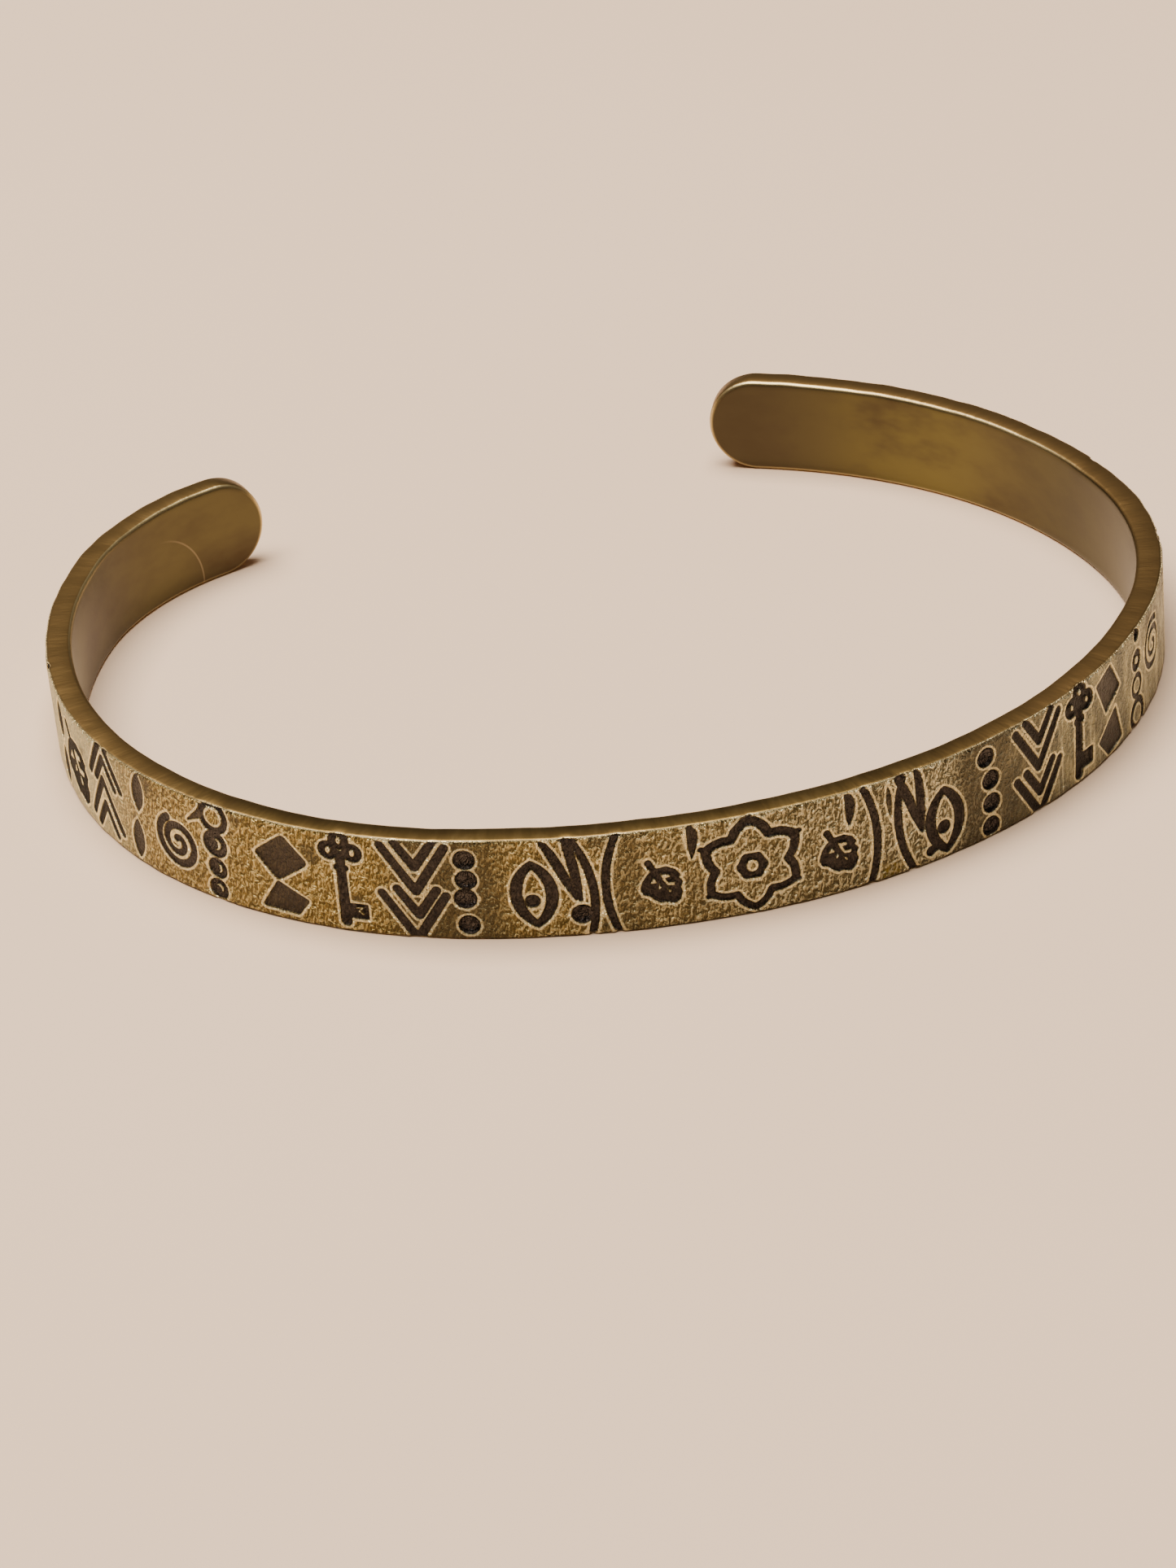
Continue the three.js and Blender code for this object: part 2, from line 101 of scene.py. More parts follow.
# Where each punch is struck: millimetres along the strip, millimetres up from its lower edge, and
# degrees of turn. From 37 mm on, the right side repeats the left one
STRIKES = (
    ("flower", -0.18, 3.1, 1),
    ("acorn", -5.2, 2.95, 0),
    ("nick", -3.45, 5.22, 0),
    ("crescent", -7.58, 3.15, 178.5),
    ("crescent", -9.6, 3.18, 7.5),
    ("blade", -10.68, 4.24, 24),
    ("blade", -9.97, 4.27, 9),
    ("dot", -9.64, 1.42, 0),
    ("eye", -12.16, 2.86, 2),
    ("dot", -15.81, 5.15, 0),
    ("dot", -15.81, 3.88, 0),
    ("large_dot", -15.94, 2.68, 0),
    ("dot", -15.87, 0.97, 0),
    ("wide_chevron", -18.65, 4.5, 0),
    ("narrow_chevron", -18.6, 5.45, 0),
    ("wide_chevron", -18.8, 1.4, 0),
    ("narrow_chevron", -18.6, 2.35, 0),
    ("key", -22.85, 3.35, 0),
    ("lozenge", -26.65, 4.1, 0),
    ("half_lozenge", -26.65, 1.5, 0),
    ("large_ring", -31.1, 5.55, 0),
    ("smear", -32.5, 5.15, 0),
    ("middle_ring", -31.17, 3.75, 0),
    ("small_ring", -31.2, 2.15, 0),
    ("small_ring", -31.33, 0.75, 40),
    ("spiral", -34.2, 2.9, 116),
    ("leaf", -37.5, 4.9, -7),
    ("leaf", -38.0, 1.65, -6),
    ("wide_chevron", -41.3, 5.45, 180),
    ("narrow_chevron", -41.3, 4.7, 180),
    ("wide_chevron", -41.6, 2.55, 180),
    ("narrow_chevron", -41.6, 1.5, 180),
    ("broad_acorn", -45.8, 3.1, 0),
    ("leaf", -48.5, 4.65, 0),
    ("leaf", -48.5, 1.6, 0),
    ("crescent", -52.2, 3.17, 180),
    ("acorn", 4.8, 2.75, 0),
    ("nick", 5.5, 5.1, 0),
    ("crescent", 6.46, 3.18, 2),
    ("thin_nick", 7.95, 4.9, 3),
    ("crescent", 9.12, 3.18, 183.5),
    ("blade", 9.22, 4.25, 20),
    ("blade", 9.86, 4.27, 3),
    ("eye", 11.48, 2.46, 1),
    ("tail", 10.5, 0.85, 0),
    ("dot", 14.45, 5.25, 0),
    ("dot", 14.75, 3.7, 0),
    ("dot", 14.75, 2.2, 0),
    ("dot", 14.65, 0.72, 0),
    ("wide_chevron", 18.5, 4.3, 0),
    ("narrow_chevron", 18.6, 5.35, 0),
    ("wide_chevron", 18.5, 1.2, 0),
    ("narrow_chevron", 18.55, 2.05, 0),
    ("bold_key", 22.25, 3.3, -2),
    ("rhombus", 25.45, 4.5, -10),
    ("kite", 25.8, 1.55, -16),
    ("pupil", 29.5, 5.92, 0),
    ("narrow_ring", 29.45, 4.3, 0),
    ("ring", 29.4, 2.65, 0),
    ("large_ring", 29.4, 0.78, 0),
    ("thin_spiral", 32.5, 3.8, 62),
    ("leaf", 37.5, 4.9, 0),
    ("leaf", 38.0, 1.65, 0),
    ("wide_chevron", 41.3, 5.45, 180),
    ("narrow_chevron", 41.3, 4.7, 180),
    ("wide_chevron", 41.6, 2.55, 180),
    ("narrow_chevron", 41.6, 1.5, 180),
    ("broad_acorn", 46.2, 2.9, 0),
    ("leaf", 49.3, 4.65, 0),
    ("leaf", 49.0, 1.65, 0),
    ("crescent", 52.2, 3.17, 0),
)

# The camera, in the frame's axes: place in metres, angles in degrees, the picture's height and
# the lens's focus in the picture's pixels, and the sensor in millimetres
CAMERA_PLACE = (-0.0471, -0.2382, 0.1336)
CAMERA_PITCH = 30.0
CAMERA_TURN = 10.65
CAMERA_ROLL = -5.4
PHOTO_HEIGHT = 1927
PHOTO_FOCUS = 5600
SENSOR = 36.0

# The pale floor and the soft light, in metres and watts
FLOOR_REACH = 2.0
SOFTBOX_PLACE = (-0.12, 0.05, 0.7)
SOFTBOX_SIZE = 0.6
SOFTBOX_POWER = 12.5
SOFTBOX_COLOUR = "#fff6ec"
ROOM_COLOUR = "#a09a92"
ROOM_STRENGTH = 0.2


# Distances: negative inside an outline, at places x, y round a punch's middle

def line_distance(x, y, points, widths):
    """Distance to a line drawn through points, as wide at each point as widths says."""
    nearest = np.full(np.shape(x), np.inf)
    for (ax, ay), (bx, by), start, end in zip(points, points[1:], widths, widths[1:]):
        run_x, run_y = bx - ax, by - ay
        share = ((x - ax) * run_x + (y - ay) * run_y) / (run_x ** 2 + run_y ** 2)
        share = np.clip(share, 0.0, 1.0)
        apart = np.hypot(x - ax - share * run_x, y - ay - share * run_y)
        nearest = np.minimum(nearest, apart - (start + (end - start) * share) / 2)
    return nearest


def disc_distance(x, y, radius, middle=(0, 0)):
    return np.hypot(x - middle[0], y - middle[1]) - radius


def ring_distance(x, y, radius, line):
    """Distance to a ring, from its outer radius inwards as wide as its line."""
    return np.abs(np.hypot(x, y) - radius + line / 2) - line / 2


def crowned_disc_distance(x, y, radius):
    """Distance to a disc with a small raised crescent left standing in it."""
    crown = disc_distance(x, y, radius * CROWN, (radius * CROWN_PLACE, 0))
    bite = disc_distance(x, y, radius * CROWN, (-radius * CROWN_BITE_PLACE, 0))
    return np.maximum(disc_distance(x, y, radius), -np.maximum(crown, -bite))


def pointed_oval_distance(x, y, length, width):
    """Distance to a leaf shape between two arcs."""
    rise, bulge = length / 2, width / 2
    radius = (rise ** 2 + bulge ** 2) / (2 * bulge)
    reach = radius - bulge
    return np.maximum(np.hypot(x + reach, y) - radius, np.hypot(x - reach, y) - radius)


def plate_distance(x, y, corners, rounding=0.0):
    """Distance to a plate with straight sides between its corners, grown by its rounding."""
    loop = list(corners) + [corners[0]]
    apart = line_distance(x, y, loop, [0.0] * len(loop))
    inside = np.zeros(np.shape(x), bool)
    for (ax, ay), (bx, by) in zip(loop, loop[1:]):
        if ay != by:
            crossed = (y < ay) != (y < by)
            inside ^= crossed & (x < ax + (y - ay) * (bx - ax) / (by - ay))
    return np.where(inside, -apart, apart) - rounding


def chevron_distance(x, y, width, rise):
    points = [(-width / 2, rise / 2), (0, -rise / 2), (width / 2, rise / 2)]
    return line_distance(x, y, points, CHEVRON_LINES)


def polar(angle, radius):
    return radius * math.cos(math.radians(angle)), radius * math.sin(math.radians(angle))


# Punches, in millimetres. The flower is a petalled line with a nub at each petal's tip, whose
# reaches run from the top petal to the left, round a small scalloped ring
PETALS = 6
PETAL_OUTLINE = (
    (-25, 2.1), (-19, 2.3), (-12, 2.46), (-6, 2.6), (0, 2.74),
    (6, 2.6), (12, 2.46), (19, 2.3), (25, 2.1), (30, 1.98),
)
PETAL_LINE = 0.48
NUB_START = 2.74
NUB_REACHES = (3.2, 3.2, 2.96, 2.8, 2.94, 3.18)
NUB_WIDTHS = (0.44, 0.28)
FLOWER_EYE = 0.83
FLOWER_SCALLOP = 0.05
FLOWER_PUPIL = 0.34
FLOWER_PUPIL_SQUASH = 0.85
FLOWER_SCALE = 1.03
FLOWER_LEAN = 0.05
FLOWER_LINE_LEAN = 0.03


def flower(x, y):
    """Drawn a little larger and heavier at its top, as the punch was leant there."""
    between = 360 // PETALS
    points = []
    for petal in range(PETALS):
        for angle, radius in PETAL_OUTLINE:
            turned = 90 + between * petal + angle
            scale = FLOWER_SCALE + FLOWER_LEAN * math.sin(math.radians(turned))
            points.append(polar(turned, radius * scale))
    points.append(points[0])
    width = PETAL_LINE + FLOWER_LINE_LEAN * y
    petals = line_distance(x, y, points, [0.0] * len(points)) - width / 2
    nubs = []
    for petal, reach in enumerate(NUB_REACHES):
        angle = 90 + between * petal
        nubs.append(line_distance(x, y, [polar(angle, NUB_START), polar(angle, reach)], NUB_WIDTHS))
    scallops = disc_distance(x, y, FLOWER_EYE) - FLOWER_SCALLOP * np.cos(np.arctan2(y, x) * PETALS)
    eye_ring = np.maximum(scallops, FLOWER_PUPIL - np.hypot(x, y * FLOWER_PUPIL_SQUASH))
    return np.minimum.reduce([petals, eye_ring] + nubs)


# The acorn's lobed body, the veins left standing in it and its stalk
ACORN_BODY = (
    (-0.37, 0.87), (0.32, 0.92), (0.78, 0.68), (1.0, 0.35), (0.92, 0.14), (1.11, -0.13),
    (0.98, -0.44), (1.08, -0.75), (0.94, -1.21), (0.63, -1.44), (0.17, -1.26), (-0.1, -1.3),
    (-0.45, -1.05), (-0.72, -0.76), (-1.02, -0.67), (-1.16, -0.36), (-1.02, 0.14), (-0.75, 0.56),
)
ACORN_VEINS = (
    ((-0.42, 0.34), (-0.66, -0.04), (-0.25, -0.02)),
    ((-0.08, 0.52), (0.46, 0.42), (0.5, 0.25), (0.2, 0.22), (0.34, -0.06), (0.74, -0.1), (0.7, -0.3),
     (0.3, -0.28), (0.05, 0.12)),
    ((-0.15, -0.1), (-0.03, -0.36), (-0.24, -0.5)),
    ((0.22, -0.38), (0.5, -0.64), (0.4, -0.8)),
)
ACORN_STALK = ((-0.68, 1.32), (-0.42, 0.8))
STALK_WIDTHS = (0.38, 0.34)
ACORN_ROUNDING = 0.02
BROAD_ACORN_WIDTH = 1.65
BROAD_ACORN_HEIGHT = 1.6


def acorn(x, y):
    body = plate_distance(x, y, ACORN_BODY, ACORN_ROUNDING)
    veins = np.minimum.reduce([plate_distance(x, y, vein) for vein in ACORN_VEINS])
    stalk = line_distance(x, y, ACORN_STALK, STALK_WIDTHS)
    return np.minimum(np.maximum(body, -veins), stalk)


def broad_acorn(x, y):
    return acorn(x / BROAD_ACORN_WIDTH, y / BROAD_ACORN_HEIGHT) * BROAD_ACORN_HEIGHT


# Leaf cuts: pointed ovals by length and width, half a leaf with a straight left side, a blade
# that is widest above its middle, and two slips of the punch
LEAF = (2.7, 1.1)
THIN_NICK = (2.1, 0.32)
HALF_LEAF = (
    (-0.2, 1.05), (0.12, 1.05), (0.34, 0.62), (0.36, 0.2), (0.22, -0.4), (-0.02, -1.0), (-0.15, -0.4),
)
HALF_LEAF_ROUNDING = 0.03
BLADE = ((0.0, 1.98), (0.07, 1.2), (0.08, 0.3), (0.04, -0.8), (0.0, -1.95))
BLADE_WIDTHS = (0.38, 0.52, 0.56, 0.5, 0.24)
TAIL = ((-0.05, -0.05), (0.4, 0.1))
TAIL_WIDTHS = (0.62, 0.4)
SMEAR = ((0.45, 0.35), (0.0, 0.05), (-0.6, -0.35))
SMEAR_WIDTHS = (0.6, 0.38, 0.12)


def leaf(x, y):
    return pointed_oval_distance(x, y, *LEAF)


def thin_nick(x, y):
    return pointed_oval_distance(x, y, *THIN_NICK)


def nick(x, y):
    return plate_distance(x, y, HALF_LEAF, HALF_LEAF_ROUNDING)


def blade(x, y):
    return line_distance(x, y, BLADE, BLADE_WIDTHS)


def tail(x, y):
    return line_distance(x, y, TAIL, TAIL_WIDTHS)


def smear(x, y):
    return line_distance(x, y, SMEAR, SMEAR_WIDTHS)


# The crescent: an arc from edge to edge, thinner towards its ends
CRESCENT_RISE = 3.15
CRESCENT_BULGE = 0.66
CRESCENT_LINE = 0.47
CRESCENT_THINNING = 0.08
CRESCENT_STEPS = 12


def crescent(x, y):
    radius = (CRESCENT_RISE ** 2 + CRESCENT_BULGE ** 2) / (2 * CRESCENT_BULGE)
    sweep = math.asin(CRESCENT_RISE / radius)
    points, widths = [], []
    for step in range(CRESCENT_STEPS + 1):
        share = step / (CRESCENT_STEPS / 2) - 1
        across = radius * math.cos(sweep * share) - radius + CRESCENT_BULGE
        points.append((across, radius * math.sin(sweep * share)))
        widths.append(CRESCENT_LINE - CRESCENT_THINNING * share ** 2)
    return line_distance(x, y, points, widths)


# The eye: its outer and inner outline, by length and width, and its round pupil
EYE_OUTER = (4.34, 2.64)
EYE_INNER = (3.3, 1.28)
EYE_PUPIL = 0.42
EYE_PUPIL_MIDDLE = (-0.13, -0.42)


def eye(x, y):
    outer = pointed_oval_distance(x, y, *EYE_OUTER)
    inner = pointed_oval_distance(x, y, *EYE_INNER)
    pupil_disc = disc_distance(x, y, EYE_PUPIL, EYE_PUPIL_MIDDLE)
    return np.minimum(np.maximum(outer, -inner), pupil_disc)


# Round punches: radii, and a radius and a line for each ring. The crescent that stands in a
# crowned disc is a disc less another, with these shares of its radius
CROWN = 0.44
CROWN_PLACE = 0.05
CROWN_BITE_PLACE = 0.2
DOT = 0.6
LARGE_DOT = 0.63
PUPIL = 0.4
MIDDLE_RING = 0.87
SMALL_RING = 0.67
LARGE_RING = (1.08, 0.42)
RING = (0.8, 0.3)
NARROW_RING = (0.68, 0.42)


def dot(x, y):
    return disc_distance(x, y, DOT)


def large_dot(x, y):
    return disc_distance(x, y, LARGE_DOT)


def pupil(x, y):
    return disc_distance(x, y, PUPIL)


def middle_ring(x, y):
    return crowned_disc_distance(x, y, MIDDLE_RING)


def small_ring(x, y):
    return crowned_disc_distance(x, y, SMALL_RING)


def large_ring(x, y):
    return ring_distance(x, y, *LARGE_RING)


def ring(x, y):
    return ring_distance(x, y, *RING)


def narrow_ring(x, y):
    return ring_distance(x, y, *NARROW_RING)


# Chevrons, by width and rise
WIDE_CHEVRON = (3.6, 2.85)
NARROW_CHEVRON = (2.2, 1.65)
CHEVRON_LINES = (0.5, 0.54, 0.5)


def wide_chevron(x, y):
    return chevron_distance(x, y, *WIDE_CHEVRON)


def narrow_chevron(x, y):
    return chevron_distance(x, y, *NARROW_CHEVRON)


# The key: three pierced bows, a shank with a collar, and a bit with its wards
KEY_BOWS = ((-0.7, 1.85), (0.72, 1.82), (0, 2.55))
KEY_BOW = 0.6
KEY_BOW_HOLE = 0.24
KEY_BOW_HOLE_SQUASH = 0.6
KEY_SHANK = ((-0.02, 1.6), (-0.03, 0.9), (-0.05, -2.68))
KEY_SHANK_WIDTHS = (0.62, 0.56, 0.64)
KEY_COLLAR = ((-0.27, 0.8), (0.22, 0.8))
KEY_COLLAR_WIDTHS = (0.4, 0.4)
KEY_BIT = ((0.2, -2.4), (1.28, -2.4), (1.28, -1.52), (0.2, -1.52))
KEY_BIT_ROUNDING = 0.05
KEY_WARDS = ((0.62, -1.75), (1.0, -1.72), (0.75, -1.95), (1.0, -2.15))
KEY_WARD_WIDTHS = (0.1, 0.1, 0.1, 0.1)
BOLD_KEY_GROWTH = 0.05


def key(x, y):
    bows = [disc_distance(x, y, KEY_BOW, middle) for middle in KEY_BOWS]
    holes = [np.hypot((x - cx) / KEY_BOW_HOLE_SQUASH, y - cy) - KEY_BOW_HOLE for cx, cy in KEY_BOWS]
    bow = np.maximum(np.minimum.reduce(bows), -np.minimum.reduce(holes))
    shank = line_distance(x, y, KEY_SHANK, KEY_SHANK_WIDTHS)
    collar = line_distance(x, y, KEY_COLLAR, KEY_COLLAR_WIDTHS)
    bit = plate_distance(x, y, KEY_BIT, KEY_BIT_ROUNDING)
    wards = line_distance(x, y, KEY_WARDS, KEY_WARD_WIDTHS)
    return np.minimum.reduce([bow, shank, collar, np.maximum(bit, -wards)])


def bold_key(x, y):
    return key(x, y) - BOLD_KEY_GROWTH


# Flat four-sided stamps: corners and how far these are rounded
LOZENGE = ((-1.32, 0.0), (-0.3, -1.2), (1.32, -0.08), (0.22, 1.16))
HALF_LOZENGE = ((-1.35, -0.75), (0.75, -0.85), (1.4, 0.0), (-0.3, 0.85))
RHOMBUS = ((-1.42, 0.55), (-0.05, -1.38), (1.38, -0.15), (0.05, 1.38))
KITE = ((-1.42, -0.45), (-0.05, -1.38), (1.38, -0.5), (0.05, 1.38))
LOZENGE_ROUNDING = 0.3
HALF_LOZENGE_ROUNDING = 0.14
SHARP_ROUNDING = 0.08


def lozenge(x, y):
    return plate_distance(x, y, LOZENGE, LOZENGE_ROUNDING)


def half_lozenge(x, y):
    return plate_distance(x, y, HALF_LOZENGE, HALF_LOZENGE_ROUNDING)


def rhombus(x, y):
    return plate_distance(x, y, RHOMBUS, SHARP_ROUNDING)


def kite(x, y):
    return plate_distance(x, y, KITE, SHARP_ROUNDING)


# The spiral: two turns that tighten inwards, its line thinner inside
SPIRAL_RADIUS = 1.6
SPIRAL_SHRINK = 1.38
SPIRAL_TIGHTENING = 1.3
SPIRAL_STEP = 15
SPIRAL_STEPS = 48
SPIRAL_OUTER_POINTS = 30
SPIRAL_OUTER_LINE = 0.5
SPIRAL_INNER_LINE = 0.42
THIN_SPIRAL_NARROWING = 0.06


def spiral(x, y):
    points, widths = [], []
    for step in range(SPIRAL_STEPS + 1):
        radius = SPIRAL_RADIUS - SPIRAL_SHRINK * (step / SPIRAL_STEPS) ** SPIRAL_TIGHTENING
        points.append(polar(SPIRAL_STEP * step, radius))
        widths.append(SPIRAL_OUTER_LINE if step < SPIRAL_OUTER_POINTS else SPIRAL_INNER_LINE)
    return line_distance(x, y, points, widths)


def thin_spiral(x, y):
    return spiral(x, y) + THIN_SPIRAL_NARROWING


# Each punch: its outline, how deep its floor is in millimetres and how black. A bowl's depth is
# the one at its middle
PUNCHES = {
    "flower": (flower, LINE_DEPTH, LINE_BLACK),
    "acorn": (acorn, LINE_DEPTH, LINE_BLACK),
    "broad_acorn": (broad_acorn, 0.06, LINE_BLACK),
    "leaf": (leaf, 0.06, 0.78),
    "thin_nick": (thin_nick, 0.08, 0.45),
    "nick": (nick, 0.12, 0.78),
    "blade": (blade, LINE_DEPTH, LINE_BLACK),
    "tail": (tail, LINE_DEPTH, LINE_BLACK),
    "smear": (smear, 0.06, 0.6),
    "crescent": (crescent, LINE_DEPTH, LINE_BLACK),
    "eye": (eye, LINE_DEPTH, LINE_BLACK),
    "dot": (dot, BOWL_DEPTH, BOWL_BLACK),
    "large_dot": (large_dot, BOWL_DEPTH, BOWL_BLACK),
    "pupil": (pupil, BOWL_DEPTH, BOWL_BLACK),
    "middle_ring": (middle_ring, 0.12, BOWL_BLACK),
    "small_ring": (small_ring, LINE_DEPTH, BOWL_BLACK),
    "large_ring": (large_ring, 0.1, LINE_BLACK),
    "ring": (ring, 0.07, LINE_BLACK),
    "narrow_ring": (narrow_ring, 0.1, LINE_BLACK),
    "wide_chevron": (wide_chevron, 0.07, LINE_BLACK),
    "narrow_chevron": (narrow_chevron, 0.07, LINE_BLACK),
    "key": (key, LINE_DEPTH, LINE_BLACK),
    "bold_key": (bold_key, LINE_DEPTH, LINE_BLACK),
    "lozenge": (lozenge, FACET_DEPTH, FACET_BLACK),
    "half_lozenge": (half_lozenge, FACET_DEPTH, FACET_BLACK),
    "rhombus": (rhombus, FACET_DEPTH, FACET_BLACK),
    "kite": (kite, FACET_DEPTH, FACET_BLACK),
    "spiral": (spiral, 0.08, LINE_BLACK),
    "thin_spiral": (thin_spiral, 0.07, LINE_BLACK),
}
BOWLS = {"dot": DOT, "large_dot": LARGE_DOT, "pupil": PUPIL}
PUNCH_REACH = 4.2
FAR_AWAY = 9.0


def nearest_outlines(along, up):
    """Distance to the nearest stamp's outline, how deep it is there and how black its floor is."""
    distance = np.full(len(along), FAR_AWAY)
    depth = np.full(len(along), LINE_DEPTH)
    black = np.full(len(along), LINE_BLACK)
    for name, middle, height, turn in STRIKES:
        near = np.nonzero(np.abs(along - middle) < PUNCH_REACH)[0]
        if len(near) == 0:
            continue
        outline, floor_depth, floor_black = PUNCHES[name]
        cos, sin = math.cos(math.radians(turn)), math.sin(math.radians(turn))
        dx, dy = along[near] - middle, up[near] - height
        reached = outline(dx * cos + dy * sin, dy * cos - dx * sin)
        closer = reached < distance[near]
        distance[near[closer]] = reached[closer]
        if name in BOWLS:
            hollow = np.clip(1 - (np.hypot(dx, dy) / BOWLS[name]) ** 2, 0, 1)
            floor_depth = BOWL_EDGE_DEPTH + (floor_depth - BOWL_EDGE_DEPTH) * hollow[closer]
        depth[near[closer]] = floor_depth
        black[near[closer]] = floor_black
    return distance, depth, black


def smooth(share):
    share = np.clip(share, 0.0, 1.0)
    return share * share * (3 - 2 * share)


# Bending

def bend_arcs():
    """Each stretch's start, heading and radius, in millimetres, from the left tip."""
    heading = -math.radians(sum(BEND_OF_EACH_STRETCH[:len(BEND_OF_EACH_STRETCH) // 2]))
    start = np.zeros(2)
    arcs = []
    for bend in BEND_OF_EACH_STRETCH:
        radius = BEND_STRETCH / math.radians(bend)
        arcs.append((start, heading, radius))
        reached = heading + math.radians(bend)
        start = start + radius * np.array([math.sin(reached) - math.sin(heading),
                                           math.cos(heading) - math.cos(reached)])
        heading = reached
    return arcs


def bent(along, up, inward):
    """The bent place, in millimetres, of each place on the flat strip."""
    arcs = bend_arcs()
    travelled = along + BEND_STRETCH * len(arcs) / 2
    row = np.clip((travelled / BEND_STRETCH).astype(int), 0, len(arcs) - 1)
    start = np.array([arc[0] for arc in arcs])[row]
    heading = np.array([arc[1] for arc in arcs])[row]
    radius = np.array([arc[2] for arc in arcs])[row]
    reached = heading + (travelled - row * BEND_STRETCH) / radius
    offset = STRIP_THICKNESS / 2 - inward
    x = start[:, 0] + radius * (np.sin(reached) - np.sin(heading)) + offset * np.sin(reached)
    y = start[:, 1] + radius * (np.cos(heading) - np.cos(reached)) - offset * np.cos(reached)
    return np.stack([x, y, up], axis=1)


def bent_middle():
    """The middle of the bent strip's outline, which is the frame's origin."""
    along = np.linspace(-LEFT_LENGTH, RIGHT_LENGTH, OUTLINE_PLACES)
    edges = np.concatenate([bent(along, 0 * along, 0 * along),
                            bent(along, 0 * along, 0 * along + STRIP_THICKNESS)])
    return (edges.min(axis=0) + edges.max(axis=0)) / 2 * np.array([1, 1, 0])


# The blank

def places(bm):
    return np.array([vert.co[:] for vert in bm.verts])


def put(bm, spots):
    for vert, spot in zip(bm.verts, spots.tolist()):
        vert.co = spot


def cut_blank():
    """A slab of even cells with its edge rings, x along, y from -1 to 1 across, z 0 to -1 through."""
    bm = bmesh.new()
    length = LEFT_LENGTH + RIGHT_LENGTH
    centre = (RIGHT_LENGTH - LEFT_LENGTH) / 2
    stretch = Matrix.Translation((centre, 0, 0)) @ Matrix.Diagonal((length / 2, 1, 1, 1))
    bmesh.ops.create_grid(bm, x_segments=round(length / CELL), y_segments=round(STRIP_HEIGHT / CELL),
                          size=1, matrix=stretch)
    bmesh.ops.solidify(bm, geom=bm.faces[:], thickness=-1.0)
    through = [inner_edge_highlight for inner_edge_highlight in bm.edges if abs(inner_edge_highlight.verts[0].co.z - inner_edge_highlight.verts[1].co.z) > 0.5]
    bmesh.ops.subdivide_edges(bm, edges=through, cuts=len(EDGE_RINGS) - 2, use_grid_fill=True)
    return bm


def round_tips_and_edges(bm):
    """Shape the slab's outline to half-round tips and its edge to the eased profile."""
    spots = places(bm)
    x, share = spots[:, 0], spots[:, 1]
    level = np.abs(spots[:, 2]) * (len(EDGE_RINGS) - 1)
    ring = np.clip(np.rint(level).astype(int), 0, len(EDGE_RINGS) - 1)
    insets = np.array(EDGE_RINGS)
    inset, inward = insets[ring, 0], insets[ring, 1]
    body_end = np.where(x < 0, LEFT_LENGTH, RIGHT_LENGTH) - TIP_RADIUS
    into_tip = np.clip((np.abs(x) - body_end) / TIP_RADIUS, 0, 1)
    reach = TIP_RADIUS - inset
    core = np.clip(x, -body_end, body_end)
    along = core + np.sign(x) * into_tip * np.sqrt(1 - share ** 2 / 2) * reach
    up = TIP_RADIUS + share * np.sqrt(1 - into_tip ** 2 / 2) * reach
    put(bm, np.stack([along, up, -inward], axis=1))


def wavers(along):
    """A slow and a quick wave along the strip, neither over 1."""
    slow = sum(np.sin(pace * along + start) for pace, start in SLOW_WAVES) / len(SLOW_WAVES)
    quick = sum(np.sin(pace * along + start) for pace, start in QUICK_WAVES) / len(QUICK_WAVES)
    return slow, quick


def halve_cells_near_stamps(bm, closeness):
    """Halve the outer face's cells close to a stamp's outline, where its wall and burr stand."""
    outer = [face for face in bm.faces if all(vert.co.z > -0.001 for vert in face.verts)]
    middles = np.array([face.calc_center_median()[:2] for face in outer])
    distance = nearest_outlines(middles[:, 0], middles[:, 1])[0]
    close = [face for face, apart in zip(outer, distance) if abs(apart) < closeness]
    edges = {inner_edge_highlight for face in close for inner_edge_highlight in face.edges}
    bmesh.ops.subdivide_edges(bm, edges=list(edges), cuts=1, use_grid_fill=True)


def strike(bm):
    """Sink the stamps and raise their burrs; give back each vertex's black and burr shares."""
    spots = places(bm)
    along, up, level = spots.T
    distance, depth, black = nearest_outlines(along, up)
    struck = smooth(-distance / WALL_RUN + WALL_START)
    burr = np.exp(-((distance - BURR_MIDDLE) / BURR_SPREAD) ** 2) * (1 - struck)
    fade = smooth(1 + level / STAMPED_SKIN)
    slow, quick = wavers(along)
    spots[:, 2] += (burr * BURR_HEIGHT - struck * depth + FACE_WAVER * (slow + quick) / 2) * fade
    upper_quarter = smooth(up / STRIP_HEIGHT * 4 - 3)
    spots[:, 1] += EDGE_WAVER * (SLOW_SHARE * slow + QUICK_SHARE * quick) * upper_quarter
    put(bm, spots)
    return struck * black * fade, burr * fade


def add_attribute(mesh, name, kind, values):
    layer = mesh.attributes.new(name, kind, "POINT")
    layer.data.foreach_set("vector" if kind == "FLOAT_VECTOR" else "value", np.ravel(values))


def make_band():
    bm = cut_blank()
    round_tips_and_edges(bm)
    halve_cells_near_stamps(bm, FIRST_HALVING)
    halve_cells_near_stamps(bm, SECOND_HALVING)
    flat = places(bm)
    struck, burr = strike(bm)
    spots = places(bm)
    put(bm, (bent(spots[:, 0], spots[:, 1], -spots[:, 2]) - bent_middle()) * MM)
    bmesh.ops.recalc_face_normals(bm, faces=bm.faces[:])
    mesh = bpy.data.meshes.new("stamped_band")
    bm.to_mesh(mesh)
    bm.free()
    mesh.shade_smooth()
    add_attribute(mesh, "strip_place", "FLOAT_VECTOR", flat)
    add_attribute(mesh, "struck", "FLOAT", struck)
    add_attribute(mesh, "burr", "FLOAT", burr)
    band = bpy.data.objects.new("stamped_band", mesh)
    bpy.context.scene.collection.objects.link(band)
    return band


# Finishes

